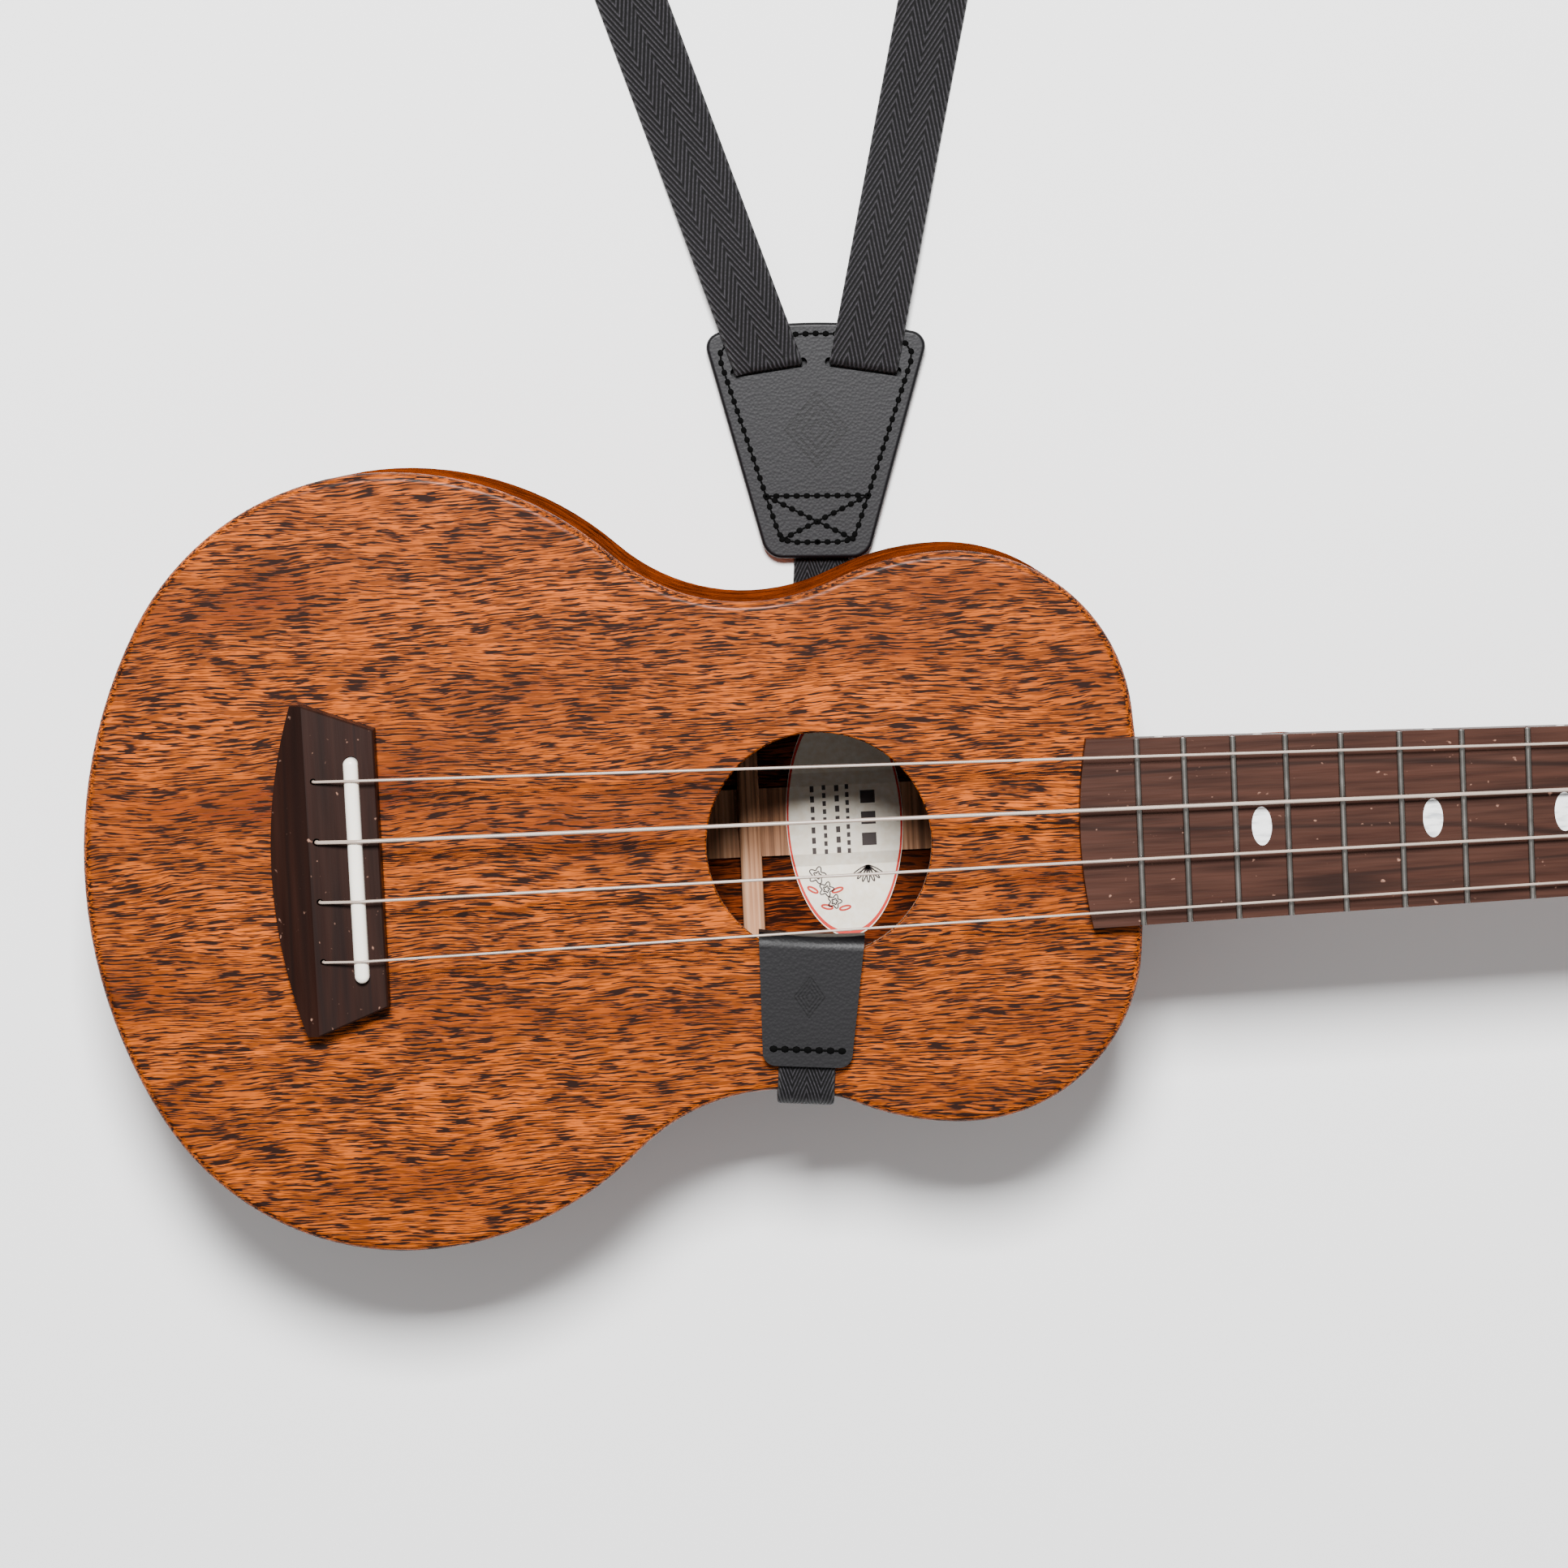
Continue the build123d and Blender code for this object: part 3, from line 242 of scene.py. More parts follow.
# ---------------------------------------------------------------- woods
def mahogany(name, ground, pore, dark, sheen, bent_rib=False):
    """Mahogany, sawn flat and varnished with open pores: fine brown streaks and short near-black
    dashes along X that gather in patches, over an orange ground with cloudy darker bands. A bent
    rib has its grain along X and Y alike. The varnish gives a soft sheen."""
    material, tree, shader = start_material(
        name, **{"Specular IOR Level": sheen, "Coat Weight": sheen * 0.5, "Coat Roughness": 0.25})
    position = add_node(tree, "ShaderNodeTexCoord").outputs["Object"]
    wave = noise(tree, stretched(tree, (45, 16, 60), source=position), 1.0)
    ripple = noise(tree, stretched(tree, (6, 9, 20), source=position, offset=(7, 3, 1)), 1.0)
    shift = math_node(tree, "MULTIPLY", math_node(tree, "SUBTRACT", wave, 0.5), 6.0 * MM)
    shift = math_node(tree, "ADD", shift,
                      math_node(tree, "MULTIPLY", math_node(tree, "SUBTRACT", ripple, 0.5), 0.7 * MM))
    offset = add_node(tree, "ShaderNodeCombineXYZ", links={"Z" if bent_rib else "Y": shift}).outputs[0]
    bent = add_node(tree, "ShaderNodeVectorMath", operation="ADD",
                    links={0: position, 1: offset}).outputs[0]
    lean = (0, 0, 0 if bent_rib else math.radians(-3))
    dash_width, streak_width = (6.02, 7.96) if bent_rib else (0.42, 0.36)
    dashes = noise(tree, stretched(tree, (6.0, dash_width, 0.42), source=bent, turn=lean), 2.0, 0.55)
    streaks = noise(tree, stretched(tree, (8.0, streak_width, 0.36), source=bent, turn=lean,
                                    offset=(3, 9, 5)), 2.0, 0.6)
    gather = noise(tree, stretched(tree, (15, 6, 9), source=position, offset=(1, 5, 2)), 2.0)
    patch = math_node(tree, "MULTIPLY", math_node(tree, "SUBTRACT", gather, 0.5), 0.22)
    pores = add_node(tree, "ShaderNodeMapRange", interpolation_type="SMOOTHSTEP",
                     values={"From Min": 0.485, "From Max": 0.565},
                     links={"Value": math_node(tree, "ADD", dashes, patch)}).outputs[0]
    lines = add_node(tree, "ShaderNodeMapRange", interpolation_type="SMOOTHSTEP",
                     values={"From Min": 0.42, "From Max": 0.54, "To Max": 0.85},
                     links={"Value": math_node(tree, "ADD", streaks, patch)}).outputs[0]
    bands = noise(tree, stretched(tree, (70, 22, 22), source=bent, offset=(2, 2, 2)), 3.0)
    light = [min(1.0, c * 1.35) for c in ground[:3]] + [1.0]
    ground_colour = ramp(tree, bands, [(0.28, dark), (0.46, ground), (0.66, light)])
    figure = noise(tree, stretched(tree, (2.6, 11, 11), source=position, turn=(0, 0, 0.4)), 2.0)
    shade = ramp(tree, figure, [(0.35, (0.74, 0.68, 0.62, 1)), (0.6, (1, 1, 1, 1))])
    ground_colour = mix(tree, 0.5, ground_colour, shade, "MULTIPLY")
    brown = [c * 0.30 for c in ground[:3]] + [1.0]
    colour = mix(tree, lines, ground_colour, brown)
    colour = mix(tree, pores, colour, pore)
    tree.links.new(colour, shader.inputs["Base Color"])
    rough = add_node(tree, "ShaderNodeMapRange", values={"To Min": 0.40, "To Max": 0.62},
                     links={"Value": pores}).outputs[0]
    tree.links.new(rough, shader.inputs["Roughness"])
    bump(tree, shader, math_node(tree, "SUBTRACT", 1.0, pores), 0.06 * MM, 0.5)
    return material


def rosewood(name, ground, lengths, lines):
    """Rosewood, planed and oiled: brown with near-black growth lines along the grain, reddish
    flecks and tiny bright pores."""
    material, tree, shader = start_material(name, Roughness=0.45, **{"Specular IOR Level": 0.1})
    streaks = noise(tree, stretched(tree, lengths), 3.0, 0.55)
    growth = noise(tree, stretched(tree, lines, offset=(4, 2, 7)), 1.0, 0.4)
    fine = noise(tree, stretched(tree, [length / 3 for length in lengths], offset=(2, 8, 1)), 2.0)
    red = noise(tree, stretched(tree, [length * 1.5 for length in lengths], offset=(9, 1, 3)), 2.0)
    colour = ramp(tree, streaks, [(0.30, [c * 0.45 for c in ground[:3]] + [1.0]), (0.50, ground),
                                  (0.72, [c * 1.5 for c in ground[:3]] + [1.0])])
    colour = mix(tree, math_node(tree, "MULTIPLY", red, 0.25), colour, linear("#4a2419"))
    edge = math_node(tree, "ABSOLUTE", math_node(tree, "SUBTRACT", growth, 0.5))
    line = add_node(tree, "ShaderNodeMapRange", interpolation_type="SMOOTHSTEP",
                    values={"From Min": 0.004, "From Max": 0.03, "To Min": 0.6, "To Max": 0.0},
                    links={"Value": edge}).outputs[0]
    colour = mix(tree, line, colour, linear("#150c0a"))
    dots = noise(tree, stretched(tree, [min(length, 2.0) for length in lengths], offset=(5, 5, 5)), 2.0)
    specks = add_node(tree, "ShaderNodeMapRange",
                      values={"From Min": 0.70, "From Max": 0.78, "To Max": 0.5},
                      links={"Value": dots}).outputs[0]
    colour = mix(tree, specks, colour, linear("#b98c78"))
    tree.links.new(colour, shader.inputs["Base Color"])
    bump(tree, shader, fine, 0.06 * MM, 0.5)
    return material


def spruce(name, lengths):
    """Spruce, split and sanded, unvarnished: pale with fine darker year lines and no gloss."""
    material, tree, shader = start_material(name, Roughness=0.8)
    rings = noise(tree, stretched(tree, lengths), 2.0)
    colour = ramp(tree, rings, [(0.35, linear("#7a5238")), (0.55, linear("#b5805c")),
                                (0.7, linear("#c89a78"))])
    tree.links.new(colour, shader.inputs["Base Color"])
    bump(tree, shader, rings, 0.05 * MM, 0.4)
    return material


# ---------------------------------------------------------------- other hard finishes
def plain_finish(name, colour, variation, size, rough, **sockets):
    """A smooth solid finish with a faint cloudy change of tone and of gloss."""
    material, tree, shader = start_material(name, **sockets)
    cloud = noise(tree, stretched(tree, (size, size, size)), 3.0)
    darker = [c * (1 - variation) for c in colour[:3]] + [1.0]
    tree.links.new(ramp(tree, cloud, [(0.3, darker), (0.65, colour)]), shader.inputs["Base Color"])
    gloss = add_node(tree, "ShaderNodeMapRange",
                     values={"To Min": rough * 0.8, "To Max": min(1.0, rough * 1.25)},
                     links={"Value": cloud}).outputs[0]
    tree.links.new(gloss, shader.inputs["Roughness"])
    bump(tree, shader, noise(tree, stretched(tree, (0.5, 0.5, 0.5)), 2.0), 0.01 * MM, 0.3)
    return material


def pearl(name):
    """Mother of pearl, cut and polished: white with soft grey bands and a clear gloss."""
    material, tree, shader = start_material(
        name, Roughness=0.15, **{"Coat Weight": 0.6, "Coat Roughness": 0.05})
    bands = noise(tree, stretched(tree, (6, 1.3, 3), turn=(0, 0, 0.4)), 2.0)
    colour = ramp(tree, bands, [(0.32, linear("#b9bcc0")), (0.48, linear("#f4f4f2")),
                                (0.7, linear("#ffffff"))])
    tree.links.new(colour, shader.inputs["Base Color"])
    return material


def label_paper(name):
    """Printed paper: cream, with a red rule round an oval; the rows of plain dashes are printed on it by the
    label print step.
    """
    material, tree, shader = start_material(name, Roughness=0.75)
    position = add_node(tree, "ShaderNodeTexCoord").outputs["Object"]
    half_width = (LABEL_HIGH[0] - LABEL_LOW[0]) / 2
    half_length = (LABEL_HIGH[1] - LABEL_LOW[1]) / 2
    centred = add_node(tree, "ShaderNodeVectorMath", operation="SUBTRACT",
                       values={1: (LABEL_X, 0, LABEL_Z)}, links={0: position}).outputs[0]
    scaled = add_node(tree, "ShaderNodeVectorMath", operation="MULTIPLY",
                      values={1: (1 / half_width, 1 / half_length, 0)}, links={0: centred}).outputs[0]
    radius = add_node(tree, "ShaderNodeVectorMath", operation="LENGTH",
                      links={0: scaled}).outputs["Value"]
    rule = math_node(tree, "MULTIPLY", math_node(tree, "GREATER_THAN", radius, 0.955),
                     math_node(tree, "LESS_THAN", radius, 0.99))
    fibre = noise(tree, stretched(tree, (1.5, 1.5, 1.5)), 3.0)
    paper = ramp(tree, fibre, [(0.3, linear("#efe2cc")), (0.7, linear("#fbf3e4"))])
    colour = mix(tree, rule, paper, linear("#c8281e"))
    tree.links.new(colour, shader.inputs["Base Color"])
    return material


def leather(name, face, mark_centre, mark_size, mark_turn):
    """Coated leather, pressed and cut, with black painted edges: dark grey with a fine grain,
    and nested diamonds embossed in the middle of the face, their grooves darkened with painted shade."""
    material, tree, shader = start_material(name, Roughness=0.45, **{"Specular IOR Level": 0.2})
    coordinates = add_node(tree, "ShaderNodeTexCoord")
    position = coordinates.outputs["Object"]
    cells = add_node(tree, "ShaderNodeTexVoronoi", values={"Scale": 1.0},
                     links={"Vector": stretched(tree, (0.7, 0.7, 0.7), source=position)})
    cloud = noise(tree, stretched(tree, (18, 18, 18), source=position), 2.0)
    tone = ramp(tree, cloud, [(0.3, [c * 0.86 for c in face[:3]] + [1.0]), (0.7, face)])
    centred = add_node(tree, "ShaderNodeVectorMath", operation="SUBTRACT",
                       values={1: mark_centre}, links={0: position}).outputs[0]
    turned = add_node(tree, "ShaderNodeVectorRotate", rotation_type="Z_AXIS",
                      values={"Angle": mark_turn}, links={"Vector": centred}).outputs[0]
    sized = add_node(tree, "ShaderNodeVectorMath", operation="MULTIPLY",
                     values={1: (1 / mark_size[0], 1 / mark_size[1], 0)}, links={0: turned}).outputs[0]
    folded = add_node(tree, "ShaderNodeVectorMath", operation="ABSOLUTE", links={0: sized}).outputs[0]
    parts = add_node(tree, "ShaderNodeSeparateXYZ", links={0: folded})
    reach = math_node(tree, "ADD", parts.outputs["X"], parts.outputs["Y"])
    rings = math_node(tree, "PINGPONG", reach, 0.125)
    groove = math_node(tree, "MULTIPLY", math_node(tree, "LESS_THAN", rings, 0.045),
                       math_node(tree, "MULTIPLY", math_node(tree, "LESS_THAN", reach, 1.05),
                                 math_node(tree, "GREATER_THAN", reach, 0.2)))
    # Painted shade: the colour in the pressed grooves is darkened towards near black.
    tone = mix(tree, math_node(tree, "MULTIPLY", groove, 0.85), tone, linear("#060506"))
    upward = add_node(tree, "ShaderNodeSeparateXYZ", links={0: coordinates.outputs["Normal"]})
    edge = add_node(tree, "ShaderNodeMapRange", values={"From Min": 0.90, "From Max": 0.985},
                    links={"Value": math_node(tree, "ABSOLUTE", upward.outputs["Z"])}).outputs[0]
    colour = mix(tree, edge, linear("#060507"), tone)
    tree.links.new(colour, shader.inputs["Base Color"])
    height = math_node(tree, "SUBTRACT", math_node(tree, "MULTIPLY", cells.outputs["Distance"], 0.12),
                       groove)
    bump(tree, shader, height, 0.35 * MM, 0.7)
    return material


def herringbone(name, yarn, chevron, pitch):
    """Woven polyester webbing in herringbone: slanting yarns that turn back at each chevron, with painted
    highlight on each yarn's crest and painted shade, near black, between the yarns.
    The pattern follows the band in millimetres along and across it. Yarn pitch is drawn a
    little coarse so that it shows."""
    material, tree, shader = start_material(
        name, Roughness=0.62, **{"Specular IOR Level": 0.2, "Sheen Weight": 0.05, "Sheen Roughness": 0.4})
    uv = add_node(tree, "ShaderNodeUVMap", uv_map="band").outputs[0]
    along = add_node(tree, "ShaderNodeSeparateXYZ", links={0: uv})
    fold = math_node(tree, "PINGPONG", along.outputs["Y"], chevron)
    slant = math_node(tree, "ADD", along.outputs["X"], math_node(tree, "MULTIPLY", fold, 2.4))
    yarns = math_node(tree, "PINGPONG", slant, pitch)
    crest = math_node(tree, "DIVIDE", yarns, pitch)
    fleck_map = add_node(tree, "ShaderNodeMapping", values={"Scale": (1.9, 1.9, 1)},
                         links={"Vector": uv}).outputs[0]
    fleck = noise(tree, fleck_map, 3.0, 0.7)
    # Painted highlight and shade: each yarn has the yarn colour on its crest and fades to near black between
    # the yarns, and noise flecks break it up.
    light = math_node(tree, "MULTIPLY", math_node(tree, "POWER", crest, 2.6),
                      add_node(tree, "ShaderNodeMapRange",
                               values={"From Min": 0.38, "From Max": 0.68, "To Min": 0.35},
                               links={"Value": fleck}).outputs[0])
    colour = mix(tree, light, linear("#020202"), yarn)
    tree.links.new(colour, shader.inputs["Base Color"])
    bump(tree, shader, crest, 0.3 * MM, 0.8)
    return material


def make_materials():
    """Every finish of the instrument, by name."""
    finish = bpy.context.scene.ukulele_finish
    ground, pore = list(finish.mahogany), list(finish.mahogany_pore)
    rose, hide, yarn = list(finish.rosewood), list(finish.leather), list(finish.webbing)
    cos_a, sin_a = math.cos(YOKE_ANGLE), math.sin(YOKE_ANGLE)
    yoke_mark = (YOKE_ORIGIN[0] + YOKE_MARK_RISE * sin_a, YOKE_ORIGIN[1] + YOKE_MARK_RISE * cos_a, 0)
    hook_mark = (STRAP_X + HOOK_CENTRE_S * math.sin(STRAP_ANGLE), HOOK_CENTRE_S * math.cos(STRAP_ANGLE), 0)
    return {
        "soundboard": mahogany("mahogany_soundboard", ground, pore, linear("#6a2a08"), 0.09),
        "ribs": mahogany("mahogany_ribs", linear("#8c3a0e"), pore, linear("#542008"), 0.0, True),
        "neck_wood": mahogany("mahogany_neck", linear("#7c3410"), pore, linear("#4c1d08"), 0.03),
        "fretboard": rosewood("rosewood_fretboard", rose, (30, 1.6, 1.6), (260, 13, 40)),
        "bridge": rosewood("rosewood_bridge", linear("#140b08"), (1.6, 34, 8), (9, 300, 60)),
        "brace": spruce("spruce_brace", (0.9, 60, 2)),
        "strip": spruce("spruce_strip", (60, 0.9, 2)),
        "bone": plain_finish("polished_bone", linear("#fbf3e6"), 0.06, 6, 0.28,
                             **{"Subsurface Weight": 0.15, "Subsurface Radius": (0.002, 0.0015, 0.001)}),
        "pearl": pearl("mother_of_pearl"),
        "dot": plain_finish("white_dot_plastic", linear("#f2f0ea"), 0.04, 2, 0.3),
        "fret": plain_finish("nickel_silver_fret", linear("#a6a29c"), 0.25, 4, 0.26, Metallic=1.0),
        "nickel": plain_finish("nickel_plate", linear("#c4c1bb"), 0.15, 5, 0.2, Metallic=1.0),
        "brass": plain_finish("turned_brass", linear("#c9a45c"), 0.2, 3, 0.32, Metallic=1.0),
        "nylon": plain_finish("clear_nylon", linear("#a8988c"), 0.05, 3, 0.25,
                              **{"Subsurface Weight": 0.3, "Subsurface Radius": (0.001, 0.001, 0.001)}),
        "button": plain_finish("moulded_button_plastic", linear("#f1ead8"), 0.08, 5, 0.22,
                               **{"Coat Weight": 0.3}),
        "label": label_paper("printed_label_paper"),
        "yoke": leather("coated_leather_yoke", hide, yoke_mark, (7.2 * MM, 8.6 * MM), YOKE_ANGLE),
        "hook": leather("moulded_rubber_hook", linear("#161517"), hook_mark, (3.4 * MM, 4.6 * MM),
                        STRAP_ANGLE),
        "webbing": herringbone("herringbone_webbing", yarn, 4.0, 1.2),
        "narrow_webbing": herringbone("narrow_webbing", yarn, 3.2, 0.9),
        "thread": plain_finish("bonded_thread", linear("#030303"), 0.3, 1, 0.8,
                               **{"Specular IOR Level": 0.05}),
        "ink_dark": plain_finish("dark_printing_ink", linear("#3c3230"), 0.2, 2, 0.7),
        "ink_red": plain_finish("red_printing_ink", linear("#c03426"), 0.2, 2, 0.7),
    }


MATERIALS = {}
NODE_FINISHES = {
    "soundboard": "soundboard", "back_plate": "neck_wood", "bass_side": "ribs", "treble_side": "ribs",
    "neck": "neck_wood", "neck_block": "neck_wood", "tail_block": "neck_wood", "bridge": "bridge",
    "fretboard": "fretboard", "headplate": "fretboard", "soundboard_braces": "brace",
    "back_braces": "brace", "top_linings": "strip", "back_linings": "strip",
    "back_centre_strip": "brace", "bridge_patch": "brace", "label": "label", "saddle": "bone",
    "nut": "bone", "position_markers": "pearl", "side_dots": "dot", "frets": "fret",
    "tuner_plates": "nickel", "tuner_bushings": "nickel", "tuner_screws": "nickel",
    "yoke_front": "yoke", "yoke_back": "yoke", "strap_hook": "hook",
}
NODE_PREFIX_FINISHES = {
    "string_": "nylon", "tuner_post_": "nickel", "gear_screw_": "nickel", "tuner_worm_": "nickel",
    "tuner_gear_": "brass", "tuner_button_": "button",
}


# ---------------------------------------------------------------- mesh helpers
def make_object(name, vertices, faces, material, uvs=None, smooth=True):
    """A mesh object from arrays, riding on the instrument."""
    mesh = bpy.data.meshes.new(name)
    mesh.from_pydata(vertices.tolist(), [], [list(face) for face in faces])
    if uvs is not None:
        layer = mesh.uv_layers.new(name="band")
        loops = np.empty(len(mesh.loops), dtype=np.int32)
        mesh.loops.foreach_get("vertex_index", loops)
        layer.data.foreach_set("uv", uvs[loops].astype(np.float32).ravel())
    mesh.polygons.foreach_set("use_smooth", [smooth] * len(mesh.polygons))
    mesh.materials.append(MATERIALS[material])
    piece = bpy.data.objects.new(name, mesh)
    bpy.context.scene.collection.objects.link(piece)
    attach(piece, BODY)
    return piece


def carried_section(centres, across, normals, section):
    """A closed section (a, b) carried along a path: point = centre + a * across + b * normal.
    Returns the vertices row by row and the faces of the skin and of both ends."""
    a, b = section[:, 0], section[:, 1]
    grid = (centres[:, None, :] + a[None, :, None] * across[:, None, :]
            + b[None, :, None] * normals[:, None, :])
    rows, columns = len(centres), len(section)
    index = np.arange(rows * columns).reshape(rows, columns)
    beside = np.roll(index, -1, axis=1)
    skin = np.stack([index[:-1], beside[:-1], beside[1:], index[1:]], axis=-1).reshape(-1, 4)
    faces = skin.tolist() + [index[0][::-1].tolist(), index[-1].tolist()]
    return grid.reshape(-1, 3), faces


def band_section(width, thickness, steps=24):
    """A flat band's section with rounded edges: a flat oval whose sides are half circles."""
    half, radius = width / 2 - thickness / 2, thickness / 2
    turn = np.linspace(-np.pi / 2, np.pi / 2, 7)
    right = np.stack([half + radius * np.cos(turn), radius * np.sin(turn)], axis=1)
    flat = np.linspace(half, -half, steps)[1:-1]
    top = np.stack([flat, np.full_like(flat, radius)], axis=1)
    left = -right
    bottom = -top
    return np.concatenate([right, top, left, bottom])


def along_path(points):
    """Distance along a path of points."""
    steps = np.linalg.norm(np.diff(points, axis=0), axis=1)
    return np.concatenate([[0.0], np.cumsum(steps)])


def unit(vectors):
    """Each row made one long."""
    return vectors / np.linalg.norm(vectors, axis=-1, keepdims=True)


def smooth_step(low, high, value):
    """0 below low, 1 above high, and an even S curve between them."""
    t = np.clip((value - low) / (high - low), 0, 1)
    return t * t * (3 - 2 * t)


def make_band(name, centres, across, width, material, node):
    """A band of webbing along a path, with its pattern measured along and across it."""
    tangents = unit(np.gradient(centres, axis=0))
    across = unit(across - tangents * np.sum(across * tangents, axis=1, keepdims=True))
    normals = unit(np.cross(tangents, across))
    section = band_section(width, WEBBING)
    vertices, faces = carried_section(centres, across, normals, section)
    distance = along_path(centres)
    rows, columns = len(centres), len(section)
    uvs = np.stack([np.repeat(distance / MM, columns),
                    np.tile(section[:, 0] / MM, rows) + width / 2 / MM], axis=1)
    piece = make_object(name, vertices, faces, material, uvs)
    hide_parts(node)
    return piece, float(distance[-1])


def yoke_point(across, up, height):
    """A place on the yoke, from its lower middle, in the row frame."""
    cos_a, sin_a = math.cos(YOKE_ANGLE), math.sin(YOKE_ANGLE)
    across, up = np.asarray(across, float), np.asarray(up, float)
    return np.stack([YOKE_ORIGIN[0] + across * cos_a + up * sin_a,
                     YOKE_ORIGIN[1] - across * sin_a + up * cos_a,
                     np.broadcast_to(height, across.shape)], axis=-1)


def strap_point(along, across, height):
    """A place along the wrap webbing's middle line, in the row frame."""
    cos_a, sin_a = math.cos(STRAP_ANGLE), math.sin(STRAP_ANGLE)
    along, across = np.asarray(along, float), np.asarray(across, float)
    return np.stack([STRAP_X + along * sin_a + across * cos_a, along * cos_a - across * sin_a,
                     np.broadcast_to(height, along.shape)], axis=-1)


# ---------------------------------------------------------------- operators
class UKULELE_OT_finishes(bpy.types.Operator):
    """Give every solid part its real material"""

    bl_idname = "ukulele.finishes"
    bl_label = "Finish Solid Parts"

    def execute(self, context):
        MATERIALS.update(make_materials())
        for name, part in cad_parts.items():
            key = NODE_FINISHES.get(name)
            for prefix, finish in NODE_PREFIX_FINISHES.items():
                if key is None and name.startswith(prefix):
                    key = finish
            if key is None:
                continue
            if not part.material_slots:
                part.data.materials.append(MATERIALS[key])
            for slot in part.material_slots:
                slot.material = MATERIALS[key]
        return {"FINISHED"}


class UKULELE_OT_neck_webbing(bpy.types.Operator):
    """Make the herringbone webbing that goes round the player's neck"""

    bl_idname = "ukulele.neck_webbing"
    bl_label = "Neck Webbing"

    def execute(self, context):
        starts, headings, slot_ways = [], [], []
        for side, angle in zip((-1, 1), BAND_ANGLES):
            tilt = side * YOKE_SLOT_TILT + YOKE_ANGLE
            starts.append(yoke_point(side * YOKE_SLOT[0], YOKE_SLOT[1], 0.0)[:2])
            headings.append(np.array([-math.sin(angle), math.cos(angle)]))
            slot_ways.append(np.array([math.cos(tilt), -math.sin(tilt), 0.0]))
        (left, right), (go, back) = starts, headings
        span = right - left
        cross = go[0] * back[1] - go[1] * back[0]
        apex = left + go * (span[0] * back[1] - span[1] * back[0]) / cross
        spread = (BAND_ANGLES[0] - BAND_ANGLES[1]) / 2
        radius, reach = LOOP_REACH * math.sin(spread), LOOP_REACH * math.cos(spread)
        middle = go + back
        centre = apex + middle / np.linalg.norm(middle) * LOOP_REACH
        runs = [reach - np.linalg.norm(start - apex) for start in starts]

        # Each band: up through its slot, over the yoke, down to the table and on to the bend.
        halves = []
        for start, heading, run, way in zip(starts, headings, runs, slot_ways):
            rise = np.linspace(0, 1, 8)
            low = YOKE_TOP_Z - SLOT_DEPTH
            high = YOKE_TOP_Z + WEBBING * 0.5 + BAND_SLACK
            riser = np.stack([RISER_RUN * (1 - np.cos(rise * np.pi / 2)),
                              low + (high - low) * np.sin(rise * np.pi / 2)], axis=1)
            plain = np.linspace(1.6 * MM, run, 150)
            level = high + (WEBBING / 2 - high) * smooth_step(*RAMP, plain)
            forward = np.concatenate([riser[:, 0], plain])
            height = np.concatenate([riser[:, 1], level])
            lean = np.pi / 2 * smooth_step(run - TWIST[0], run - TWIST[1], forward)
            height += (WEBBING / 2 * (np.cos(lean) - 1) + BAND_WIDTH / 2 * np.sin(lean))
            place = start[None, :] + heading[None, :] * forward[:, None]
            centres = np.concatenate([place, height[:, None]], axis=1)
            halves.append((centres, lean, forward, way))
        axis_angle = math.atan2(middle[1], middle[0])
        turn = axis_angle + np.linspace(np.pi / 2 + spread, -np.pi / 2 - spread, 110)[1:-1]
        bend = np.stack([centre[0] + radius * np.cos(turn), centre[1] + radius * np.sin(turn),
                         np.full_like(turn, BAND_WIDTH / 2)], axis=1)
        up = np.array([0.0, 0.0, 1.0])

        def sideways(centres, lean, forward, heading, way, inward):
            side = np.array([heading[1], -heading[0], 0.0]) * inward
            share = smooth_step(0, SLOT_TURN, forward)[:, None]
            flat = unit((1 - share) * way[None, :] * np.sign(np.dot(way, side)) + share * side[None, :])
            return np.cos(lean)[:, None] * flat + np.sin(lean)[:, None] * up[None, :]

        (left_path, left_lean, left_run, left_way), (right_path, right_lean, right_run, right_way) = halves
        left_across = sideways(left_path, left_lean, left_run, go, left_way, 1)
        right_across = sideways(right_path, right_lean, right_run, back, right_way, -1)
        centres = np.concatenate([left_path, bend, right_path[::-1]])
        across = np.concatenate([left_across, np.tile(up, (len(bend), 1)), right_across[::-1]])
        piece, length = make_band("neck_webbing_cloth", centres, across, BAND_WIDTH, "webbing",
                                  "neck_webbing")
        return {"FINISHED"}


